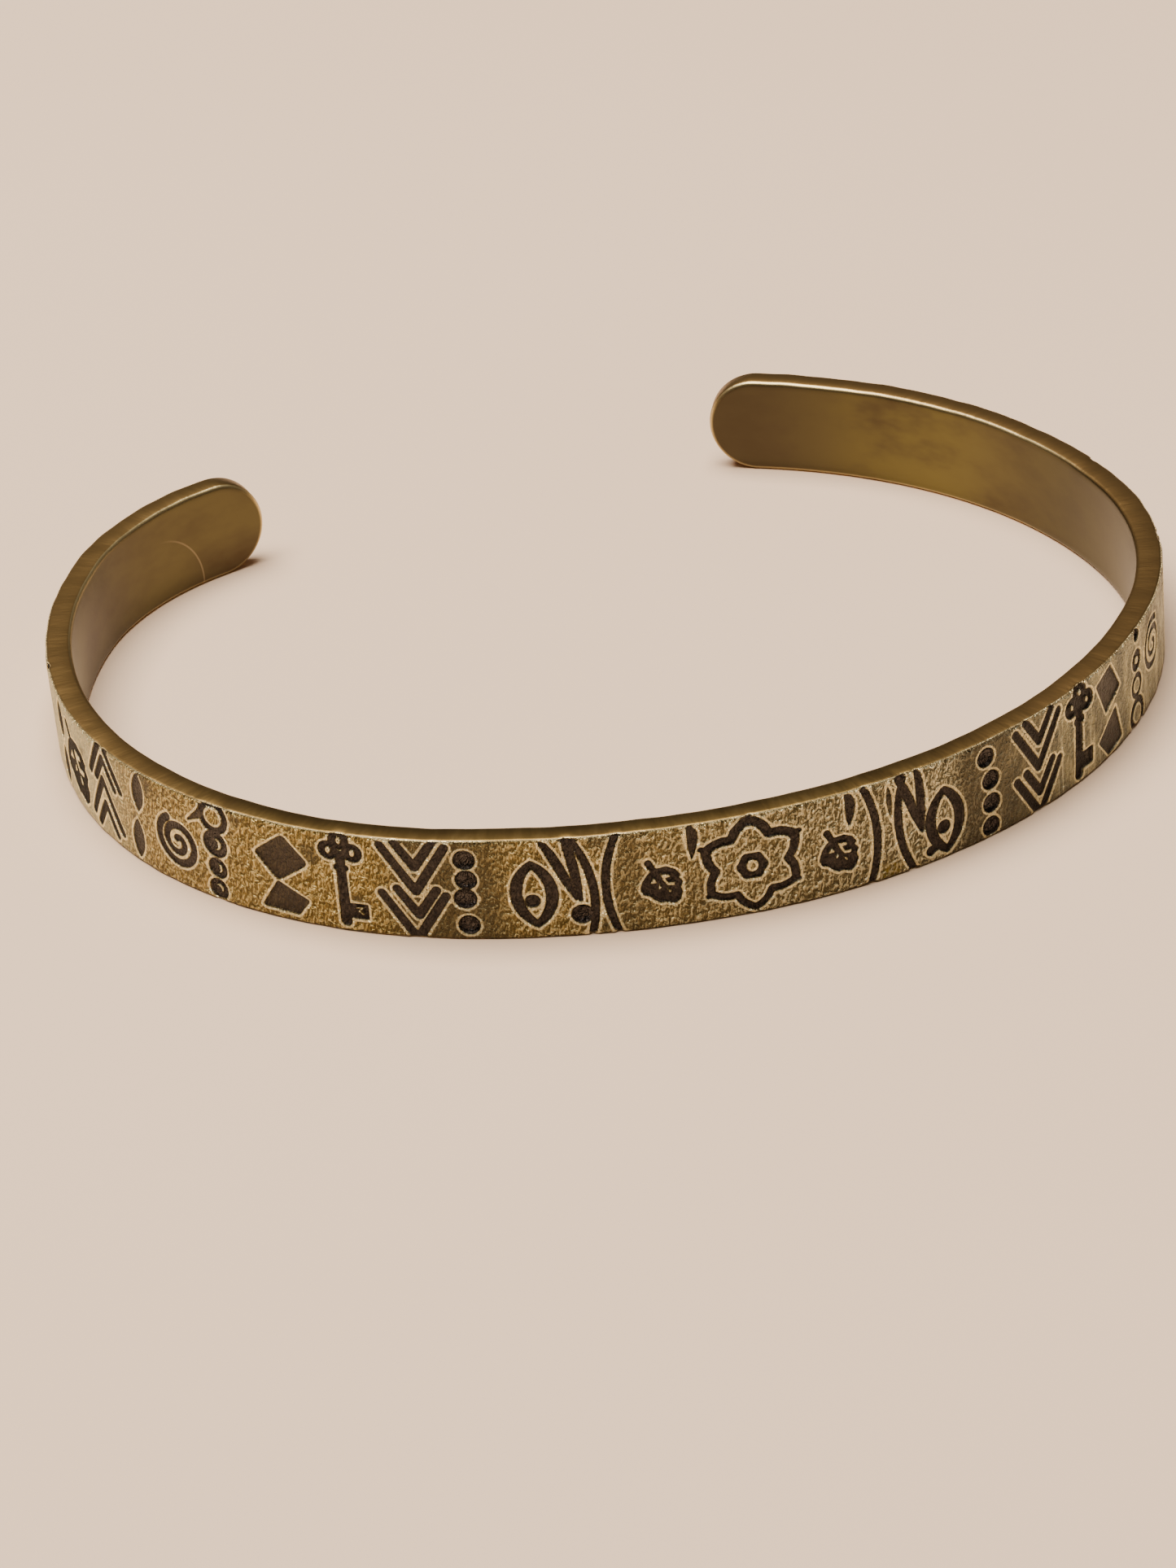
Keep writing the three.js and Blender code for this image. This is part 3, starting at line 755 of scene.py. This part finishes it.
def linear(hex_colour):
    """An sRGB hex colour as the linear colour that a shader takes."""
    parts = [int(hex_colour[start:start + 2], 16) / 255 for start in (1, 3, 5)]
    return [part / 12.92 if part <= 0.04045 else ((part + 0.055) / 1.055) ** 2.4 for part in parts] + [1]


def add(material, kind, settings, links):
    """Add a node with its settings and its incoming links. Stops are a ramp's places and colours."""
    node = material.node_tree.nodes.new("ShaderNode" + kind)
    for name, value in settings.items():
        if name == "stops":
            while len(node.color_ramp.elements) < len(value):
                node.color_ramp.elements.new(0.5)
            for element, (position, colour) in zip(node.color_ramp.elements, value):
                element.position, element.color = position, linear(colour)
        elif isinstance(name, int) or name in node.inputs:
            node.inputs[name].default_value = linear(value) if isinstance(value, str) else value
        else:
            setattr(node, name, value)
    for name, source in links.items():
        material.node_tree.links.new(source, node.inputs[name])
    return node


def new_material(name, rows):
    """A material from rows: name, kind of node, output that later rows take, settings and links."""
    material = bpy.data.materials.new(name)
    material.use_nodes = True
    material.node_tree.nodes.clear()
    made = {}
    for row, kind, output, settings, links in rows:
        node = add(material, kind, settings, {inlet: made[source] for inlet, source in links.items()})
        made[row] = node.outputs[output] if node.outputs else None
    return material


# Settings that several nodes share
SMOOTH = {"interpolation_type": "SMOOTHSTEP"}
COLOUR = {"data_type": "RGBA"}
TIMES = {"operation": "MULTIPLY"}
LARGER = {"operation": "MAXIMUM"}
CRINKLE = {"Scale": 3.4, "Detail": 1.5, "Roughness": 0.5, "Distortion": 0.9}

# Solid brass, hand-punched, blackened and rubbed back: dull black stamps ringed by bright burrs, rubbed
# metal with a painted highlight on it, on a golden ground whose crinkles have a painted highlight on one
# side and painted shade on the other. All patterns lie on the strip's millimetres.
# A smooth range has the two values that it runs between at 1 and 2 and what it gives for them at
# 3 and 4, so a share linked to 4 is multiplied. A mix lays 7 over 6, by the share at 0.
BRASS_NODES = (
    # Where on the flat strip, how deep in a stamp's black and how high on a burr
    ("place", "Attribute", "Vector", {"attribute_name": "strip_place"}, {}),
    ("struck", "Attribute", "Fac", {"attribute_name": "struck"}, {}),
    ("burr", "Attribute", "Fac", {"attribute_name": "burr"}, {}),
    ("along", "SeparateXYZ", "X", {}, {0: "place"}),
    ("up", "SeparateXYZ", "Y", {}, {0: "place"}),
    ("level", "SeparateXYZ", "Z", {}, {0: "place"}),

    # The outer face's crinkles, 0.3 mm long and 0.5 mm high, with a painted highlight on one side and
    # painted shade on the other, its grains of 0.2 mm and its clouds
    ("creased", "VectorMath", 0, {**TIMES, 1: (1.0, 0.6, 1.0)}, {0: "place"}),
    ("shifted", "VectorMath", 0, {"operation": "ADD", 1: (-0.05, 0.06, 0.0)}, {0: "creased"}),
    ("near_side", "TexNoise", 0, CRINKLE, {"Vector": "creased"}),
    ("far_side", "TexNoise", 0, CRINKLE, {"Vector": "shifted"}),
    ("slope", "Math", 0, {"operation": "SUBTRACT"}, {0: "near_side", 1: "far_side"}),
    ("painted_crinkle_light", "MapRange", 0, {**SMOOTH, 1: -0.16, 2: 0.16, 3: 0.05, 4: 0.72}, {0: "slope"}),
    ("folds", "TexNoise", 0, {"Scale": 2.9, "Detail": 2.0, "Roughness": 0.6, "Distortion": 1.2},
     {"Vector": "creased"}),
    ("folded", "Math", 0, {"operation": "PINGPONG", 1: 0.5}, {0: "folds"}),
    ("ridges", "MapRange", 0, {**SMOOTH, 1: 0.4, 2: 0.5}, {0: "folded"}),
    ("relief", "Math", 0, {"operation": "MULTIPLY_ADD", 1: 0.42}, {0: "ridges", 2: "painted_crinkle_light"}),
    ("grain_place", "VectorMath", 0, {**TIMES, 1: (1.0, 0.7, 1.0)}, {0: "place"}),
    ("grains", "TexNoise", 0, {"Scale": 5.5, "Detail": 2.0, "Roughness": 0.6, "Distortion": 0.6},
     {"Vector": "grain_place"}),
    ("clouds", "TexNoise", 0, {"Scale": 0.28, "Detail": 3.0, "Roughness": 0.55}, {"Vector": "place"}),

    # Its ground: golden on the left, greyer and smoother on the right, pale on the far left, each
    # toned by the relief, so carrying the crinkles' painted highlight and painted shade
    ("golden_ground", "ValToRGB", 0,
     {"stops": ((0.15, "#5d4f2b"), (0.42, "#7d6b3c"), (0.62, "#98844e"), (0.95, "#dcc98c"))},
     {0: "relief"}),
    ("grey_ground", "ValToRGB", 0,
     {"stops": ((0.15, "#504b38"), (0.42, "#706b52"), (0.62, "#938d72"), (0.9, "#e2d9b4"))},
     {0: "relief"}),
    ("greyer", "MapRange", 0, {**SMOOTH, 1: -22.0, 2: 18.0}, {0: "along"}),
    ("crinkled", "Mix", 2, COLOUR, {0: "greyer", 6: "golden_ground", 7: "grey_ground"}),
    ("haze_place", "VectorMath", 0, {**TIMES, 1: (1.0, 0.4, 1.0)}, {0: "place"}),
    ("haze", "TexNoise", 0, {"Scale": 0.8, "Detail": 3.0, "Roughness": 0.6}, {"Vector": "haze_place"}),
    ("smooth_ground", "ValToRGB", 0,
     {"stops": ((0.36, "#67685a"), (0.5, "#8f8c72"), (0.64, "#c6be97"))}, {0: "haze"}),
    ("smoother", "MapRange", 0, {**SMOOTH, 1: 12.0, 2: 18.0, 4: 0.72}, {0: "along"}),
    ("hazy", "Mix", 2, COLOUR, {0: "smoother", 6: "crinkled", 7: "smooth_ground"}),
    ("paler", "MapRange", 0, {**SMOOTH, 1: -36.0, 2: -44.0, 4: 0.6}, {0: "along"}),
    ("ground", "Mix", 2, {**COLOUR, 7: "#c6c6a4"}, {0: "paler", 6: "hazy"}),

    # Brown clouds beside the chevrons, round the left acorn and here and there
    ("from_left", "MapRange", 0, {**SMOOTH, 1: -21.5, 2: -18.5}, {0: "along"}),
    ("left_cloud", "MapRange", 0, {**SMOOTH, 1: -12.6, 2: -15.0}, {0: "along", 4: "from_left"}),
    ("from_eye", "MapRange", 0, {**SMOOTH, 1: 11.6, 2: 13.2}, {0: "along"}),
    ("right_cloud", "MapRange", 0, {**SMOOTH, 1: 22.0, 2: 15.5}, {0: "along", 4: "from_eye"}),
    ("from_crescent", "MapRange", 0, {**SMOOTH, 1: -8.6, 2: -7.4, 4: 0.6}, {0: "along"}),
    ("acorn_cloud", "MapRange", 0, {**SMOOTH, 1: -5.4, 2: -6.6}, {0: "along", 4: "from_crescent"}),
    ("scattered", "MapRange", 0, {**SMOOTH, 1: 0.56, 2: 0.72}, {0: "clouds"}),
    ("two_clouds", "Math", 0, LARGER, {0: "left_cloud", 1: "right_cloud"}),
    ("three_clouds", "Math", 0, LARGER, {0: "two_clouds", 1: "acorn_cloud"}),
    ("cloud", "Math", 0, LARGER, {0: "three_clouds", 1: "scattered"}),
    ("patches", "MapRange", 0, {**SMOOTH, 1: 0.25, 2: 0.5, 3: 0.5, 4: 0.8}, {0: "clouds"}),
    ("cloud_share", "Math", 0, TIMES, {0: "cloud", 1: "patches"}),
    ("clouded", "Mix", 2, {**COLOUR, 7: "#514a38"}, {0: "cloud_share", 6: "ground"}),

    # A yellow stain low beside the right acorn
    ("stain_left", "MapRange", 0, {**SMOOTH, 1: 6.9, 2: 7.6, 4: 0.55}, {0: "along"}),
    ("stain_right", "MapRange", 0, {**SMOOTH, 1: 8.9, 2: 8.2}, {0: "along", 4: "stain_left"}),
    ("stain_top", "MapRange", 0, {**SMOOTH, 1: 1.3, 2: 0.6}, {0: "up", 4: "stain_right"}),
    ("stain", "MapRange", 0, {**SMOOTH, 1: 0.35, 2: 0.6}, {0: "grains", 4: "stain_top"}),
    ("stained", "Mix", 2, {**COLOUR, 7: "#8d7a1c"}, {0: "stain", 6: "clouded"}),

    # Bright scratches up and down the right end, drawn 0.2 mm wide, which is coarser than a real
    # scratch, so that they show
    ("scratch_place", "VectorMath", 0, {**TIMES, 1: (4.5, 0.16, 1.0)}, {0: "place"}),
    ("scratches", "TexNoise", 0, {"Scale": 1.0, "Detail": 2.0, "Roughness": 0.6},
     {"Vector": "scratch_place"}),
    ("scratched_from", "MapRange", 0, {**SMOOTH, 1: 18.4, 2: 19.4, 4: 0.5}, {0: "along"}),
    ("scratched_to", "MapRange", 0, {**SMOOTH, 1: 26.0, 2: 24.5}, {0: "along", 4: "scratched_from"}),
    ("scratch", "MapRange", 0, {**SMOOTH, 1: 0.58, 2: 0.64}, {0: "scratches", 4: "scratched_to"}),
    ("scratched", "Mix", 2, {**COLOUR, 7: "#efe6bd"}, {0: "scratch", 6: "stained"}),

    # Burrs rubbed bright and painted with the highlight that their raised edges catch, less so in the
    # clouds and on the right
    ("raised", "MapRange", 0, {**SMOOTH, 1: 0.25, 2: 0.65}, {0: "burr"}),
    ("clear", "MapRange", 0, {**SMOOTH, 3: 1.0, 4: 0.75}, {0: "cloud"}),
    ("grained", "MapRange", 0, {**SMOOTH, 1: 0.3, 2: 0.6, 3: 0.65, 4: 1.0}, {0: "grains"}),
    ("fainter", "MapRange", 0, {**SMOOTH, 1: 26.0, 2: 29.0, 3: 1.0, 4: 0.75}, {0: "along"}),
    ("raised_clear", "Math", 0, TIMES, {0: "raised", 1: "clear"}),
    ("raised_grains", "Math", 0, TIMES, {0: "raised_clear", 1: "grained"}),
    ("rubbed_and_highlight_share", "Math", 0, TIMES, {0: "raised_grains", 1: "fainter"}),
    ("rubbed_and_highlit", "Mix", 2, {**COLOUR, 7: "#fff0bc"}, {0: "rubbed_and_highlight_share", 6: "scratched"}),

    # Blackened stamps, blackest at the far left, blacker on the right than in the middle, with
    # bowls that are a little lighter
    ("mottled_soot", "ValToRGB", 0, {"stops": ((0.3, "#2c2827"), (0.7, "#49433e"))}, {0: "grains"}),
    ("far_left", "MapRange", 0, {**SMOOTH, 1: -38.0, 2: -45.0, 4: 0.8}, {0: "along"}),
    ("soot", "Mix", 2, {**COLOUR, 7: "#171512"}, {0: "far_left", 6: "mottled_soot"}),
    ("right_side", "MapRange", 0, {**SMOOTH, 1: 11.0, 2: 15.0, 4: 0.5}, {0: "along"}),
    ("right_soot", "Mix", 2, {**COLOUR, 7: "#171512"}, {0: "right_side", 6: "soot"}),
    ("wall", "MapRange", 0, {**SMOOTH, 1: 0.12, 2: 0.6, 4: 0.95}, {0: "struck"}),
    ("walls", "Mix", 2, {**COLOUR, 7: "#3d3835"}, {0: "wall", 6: "rubbed_and_highlit"}),
    ("floor", "MapRange", 0, {**SMOOTH, 1: 0.68, 2: 0.86}, {0: "struck"}),
    ("floors", "Mix", 2, COLOUR, {0: "floor", 6: "walls", 7: "right_soot"}),
    ("bowl", "MapRange", 0, {**SMOOTH, 1: 0.91, 2: 0.99}, {0: "struck"}),
    ("outer", "Mix", 2, {**COLOUR, 7: "#484340"}, {0: "bowl", 6: "floors"}),

    # The rim: olive brown, stained and filed across. The marks are drawn 0.5 mm apart so that they
    # show: real file marks are about 0.1 mm apart
    ("file_place", "VectorMath", 0, {**TIMES, 1: (1.5, 1.5, 0.4)}, {0: "place"}),
    ("file_marks", "TexNoise", 0, {"Scale": 1.3, "Detail": 3.0, "Roughness": 0.6},
     {"Vector": "file_place"}),
    ("filed", "ValToRGB", 0,
     {"stops": ((0.3, "#6b5731"), (0.5, "#755f36"), (0.72, "#806a40"))}, {0: "file_marks"}),
    ("rim_stain", "MapRange", 0, {**SMOOTH, 1: 0.48, 2: 0.62, 4: 0.5}, {0: "clouds"}),
    ("stained_rim", "Mix", 2, {**COLOUR, 7: "#5e4a2a"}, {0: "rim_stain", 6: "filed"}),
    ("right_tip", "MapRange", 0, {**SMOOTH, 1: 70.0, 2: 78.0, 4: 0.6}, {0: "along"}),
    ("left_tip", "MapRange", 0, {**SMOOTH, 1: -70.0, 2: -78.0, 4: 0.6}, {0: "along"}),
    ("tips", "Math", 0, LARGER, {0: "right_tip", 1: "left_tip"}),
    ("tipped_rim", "Mix", 2, {**COLOUR, 7: "#4d4826"}, {0: "tips", 6: "stained_rim"}),
    ("left_rim", "MapRange", 0, {**SMOOTH, 1: -26.0, 2: -44.0, 4: 0.6}, {0: "along"}),
    ("lighter_rim", "Mix", 2, {**COLOUR, 7: "#a58452"}, {0: "left_rim", 6: "tipped_rim"}),
    ("right_rim", "MapRange", 0, {**SMOOTH, 1: 6.0, 2: 24.0, 4: 0.75}, {0: "along"}),
    ("plain_rim", "Mix", 2, {**COLOUR, 7: "#98784a"}, {0: "right_rim", 6: "lighter_rim"}),

    # Its outer corner, worn bright in patches, with a painted highlight along it from 23 to 13 mm left
    # of the flower
    ("painted_highlight_from", "MapRange", 0, {**SMOOTH, 1: -23.0, 2: -21.0}, {0: "along"}),
    ("painted_highlight_span", "MapRange", 0, {**SMOOTH, 1: -13.0, 2: -16.0}, {0: "along", 4: "painted_highlight_from"}),
    ("worn_patches", "MapRange", 0, {**SMOOTH, 1: 0.4, 2: 0.6, 3: 0.25, 4: 0.6}, {0: "clouds"}),
    ("wear_and_painted_highlight", "Math", 0, LARGER, {0: "painted_highlight_span", 1: "worn_patches"}),
    ("corner_from", "MapRange", 0, {**SMOOTH, 1: -0.15, 2: -0.09}, {0: "level", 4: "wear_and_painted_highlight"}),
    ("corner", "MapRange", 0, {**SMOOTH, 1: -0.02, 2: -0.05}, {0: "level", 4: "corner_from"}),
    ("rim", "Mix", 2, {**COLOUR, 7: "#ecd9a6"}, {0: "corner", 6: "plain_rim"}),
    ("beyond_face", "MapRange", 0, {**SMOOTH, 1: -0.04, 2: -0.08}, {0: "level"}),
    ("outside", "Mix", 2, COLOUR, {0: "beyond_face", 6: "outer", 7: "rim"}),

    # The inner face: satin brown, golden before the right tip
    ("stain_place", "VectorMath", 0, {**TIMES, 1: (0.5, 1.0, 1.0)}, {0: "place"}),
    ("stains", "TexNoise", 0, {"Scale": 0.22, "Detail": 4.0, "Roughness": 0.6},
     {"Vector": "stain_place"}),
    ("satin", "ValToRGB", 0,
     {"stops": ((0.32, "#4b3f2f"), (0.5, "#564d38"), (0.66, "#5f573c"))}, {0: "stains"}),
    ("golden_spots", "MapRange", 0, {**SMOOTH, 1: 0.35, 2: 0.6, 3: 0.1, 4: 0.7}, {0: "stains"}),
    ("golden_from", "MapRange", 0, {**SMOOTH, 1: 56.0, 2: 66.0}, {0: "along", 4: "golden_spots"}),
    ("golden_to", "MapRange", 0, {**SMOOTH, 1: 77.0, 2: 70.0}, {0: "along", 4: "golden_from"}),
    ("golden", "Mix", 2, {**COLOUR, 7: "#726a3f"}, {0: "golden_to", 6: "satin"}),
    ("darker", "MapRange", 0, {**SMOOTH, 1: 64.0, 2: 80.0, 4: 0.7}, {0: "along"}),
    ("right_inner", "Mix", 2, {**COLOUR, 7: "#484032"}, {0: "darker", 6: "golden"}),
    # Painted shade, up to half strength, on the inner face from the flower to 62 mm right of it
    ("shaded_from", "MapRange", 0, {**SMOOTH, 1: 0.0, 2: 20.0, 4: 0.5}, {0: "along"}),
    ("shaded", "MapRange", 0, {**SMOOTH, 1: 62.0, 2: 50.0}, {0: "along", 4: "shaded_from"}),
    ("shaded_inner", "Mix", 2, {**COLOUR, 7: "#3c3826"}, {0: "shaded", 6: "right_inner"}),

    # A faint scratch on it, a quarter of a circle by the left tip
    ("arc_reach", "VectorMath", "Value", {"operation": "DISTANCE", 1: (-72.3, 0.6, -1.6)}, {0: "place"}),
    ("arc_side", "MapRange", 0, {**SMOOTH, 1: -72.4, 2: -75.4, 4: 0.35}, {0: "along"}),
    ("arc_start", "MapRange", 0, {**SMOOTH, 1: 3.56, 2: 3.63}, {0: "arc_reach", 4: "arc_side"}),
    ("arc", "MapRange", 0, {**SMOOTH, 1: 3.74, 2: 3.67}, {0: "arc_reach", 4: "arc_start"}),
    ("inner", "Mix", 2, {**COLOUR, 7: "#a8977a"}, {0: "arc", 6: "shaded_inner"}),
    ("inward", "MapRange", 0, {**SMOOTH, 1: -1.5, 2: -1.58}, {0: "level"}),
    ("both_faces", "Mix", 2, COLOUR, {0: "inward", 6: "outside", 7: "inner"}),

    # Its inner corner, with a painted highlight in spots towards both tips
    ("highlight_spots", "MapRange", 0, {**SMOOTH, 1: 0.3, 2: 0.6, 3: 0.4, 4: 0.8}, {0: "stains"}),
    ("right_end", "MapRange", 0, {**SMOOTH, 1: 48.0, 2: 60.0}, {0: "along", 4: "highlight_spots"}),
    ("left_end", "MapRange", 0, {**SMOOTH, 1: -48.0, 2: -60.0}, {0: "along", 4: "highlight_spots"}),
    ("ends", "Math", 0, LARGER, {0: "right_end", 1: "left_end"}),
    ("edge_from", "MapRange", 0, {**SMOOTH, 1: -1.38, 2: -1.45}, {0: "level", 4: "ends"}),
    ("inner_edge_highlight", "MapRange", 0, {**SMOOTH, 1: -1.6, 2: -1.54}, {0: "level", 4: "edge_from"}),
    ("colour", "Mix", 2, {**COLOUR, 7: "#e0cb95"}, {0: "inner_edge_highlight", 6: "both_faces"}),

    # Fine relief and sheen
    ("unstruck", "MapRange", 0, {**SMOOTH, 1: 0.1, 2: 0.5, 3: 1.0, 4: 0.35}, {0: "struck"}),
    ("face_relief", "Math", 0, TIMES, {0: "relief", 1: "unstruck"}),
    ("rim_relief", "Math", 0, {**TIMES, 1: 0.16}, {0: "file_marks"}),
    ("on_rim", "MapRange", 0, {**SMOOTH, 1: -0.05, 2: -0.12}, {0: "level"}),
    ("heights", "Mix", 0, {}, {0: "on_rim", 2: "face_relief", 3: "rim_relief"}),
    ("strength", "MapRange", 0, {**SMOOTH, 1: -1.5, 2: -1.58, 3: 0.9, 4: 0.04}, {0: "level"}),
    ("bump", "Bump", 0, {"Distance": 0.0002}, {"Height": "heights", "Strength": "strength"}),
    ("face_sheen", "MapRange", 0, {**SMOOTH, 1: -1.5, 2: -1.58, 3: 0.4, 4: 0.36}, {0: "level"}),
    ("bowl_sheen", "MapRange", 0, {**SMOOTH, 1: 0.91, 2: 0.99, 3: 1.0, 4: 0.6}, {0: "struck"}),
    ("sheen", "Math", 0, TIMES, {0: "face_sheen", 1: "bowl_sheen"}),
    ("dull_floors", "MapRange", 0, {**SMOOTH, 1: 0.3, 2: 0.6}, {0: "struck", 4: "far_left"}),
    ("roughness", "Math", 0, {"operation": "MULTIPLY_ADD", 1: 0.35}, {0: "dull_floors", 2: "sheen"}),
    ("brass", "BsdfPrincipled", 0, {"Metallic": 1.0},
     {"Base Color": "colour", "Normal": "bump", "Roughness": "roughness"}),
    ("surface", "OutputMaterial", 0, {}, {"Surface": "brass"}),
)

# Matt paint of a plain pale floor, even to the eye: its faint mottle is about 70 mm across
FLOOR_NODES = (
    ("mottle", "TexNoise", 0, {"Scale": 60.0, "Detail": 2.0}, {}),
    ("tone", "Mix", 2, {**COLOUR, 6: "#eed0b1", 7: "#f2d5b7"}, {0: "mottle"}),
    ("paint", "BsdfPrincipled", 0, {"Roughness": 0.9}, {"Base Color": "tone"}),
    ("surface", "OutputMaterial", 0, {}, {"Surface": "paint"}),
)


# Camera, floor and lights

def add_camera():
    camera = bpy.data.cameras.new("camera")
    camera.lens = PHOTO_FOCUS * SENSOR / PHOTO_HEIGHT
    camera.sensor_width = SENSOR
    camera.clip_start = 0.01
    pitch, turn, roll = (math.radians(angle) for angle in (CAMERA_PITCH, CAMERA_TURN, CAMERA_ROLL))
    ahead = Vector((0, math.cos(pitch), -math.sin(pitch)))
    level = Vector((1, 0, 0))
    down = Vector((0, -math.sin(pitch), -math.cos(pitch)))
    right = level * math.cos(roll) - down * math.sin(roll)
    low = level * math.sin(roll) + down * math.cos(roll)
    axes = Matrix((right, -low, -ahead)).transposed().to_4x4()
    holder = bpy.data.objects.new("camera", camera)
    holder.matrix_world = Matrix.Translation(CAMERA_PLACE) @ Matrix.Rotation(-turn, 4, "Z") @ axes
    bpy.context.scene.collection.objects.link(holder)
    bpy.context.scene.camera = holder


def add_floor():
    bm = bmesh.new()
    bmesh.ops.create_grid(bm, x_segments=4, y_segments=4, size=FLOOR_REACH)
    mesh = bpy.data.meshes.new("floor")
    bm.to_mesh(mesh)
    bm.free()
    floor = bpy.data.objects.new("floor", mesh)
    floor.data.materials.append(new_material("plain_pale_floor", FLOOR_NODES))
    bpy.context.scene.collection.objects.link(floor)


def add_lights():
    """An even room and a square softbox overhead, a little to the left and behind."""
    world = bpy.data.worlds.new("studio")
    world.use_nodes = True
    room = world.node_tree.nodes["Background"]
    room.inputs["Color"].default_value = linear(ROOM_COLOUR)
    room.inputs["Strength"].default_value = ROOM_STRENGTH
    bpy.context.scene.world = world
    lamp = bpy.data.lights.new("overhead_softbox", "AREA")
    lamp.shape = "SQUARE"
    lamp.size = SOFTBOX_SIZE
    lamp.energy = SOFTBOX_POWER
    lamp.color = linear(SOFTBOX_COLOUR)[:3]
    holder = bpy.data.objects.new("overhead_softbox", lamp)
    facing = (-Vector(SOFTBOX_PLACE)).to_track_quat("-Z", "Y")
    holder.matrix_world = Matrix.Translation(SOFTBOX_PLACE) @ facing.to_matrix().to_4x4()
    bpy.context.scene.collection.objects.link(holder)


add_camera()
add_floor()
add_lights()

band = make_band()
band.data.materials.append(new_material("antiqued_brass", BRASS_NODES))
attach(band, "root")
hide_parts(PIECE)
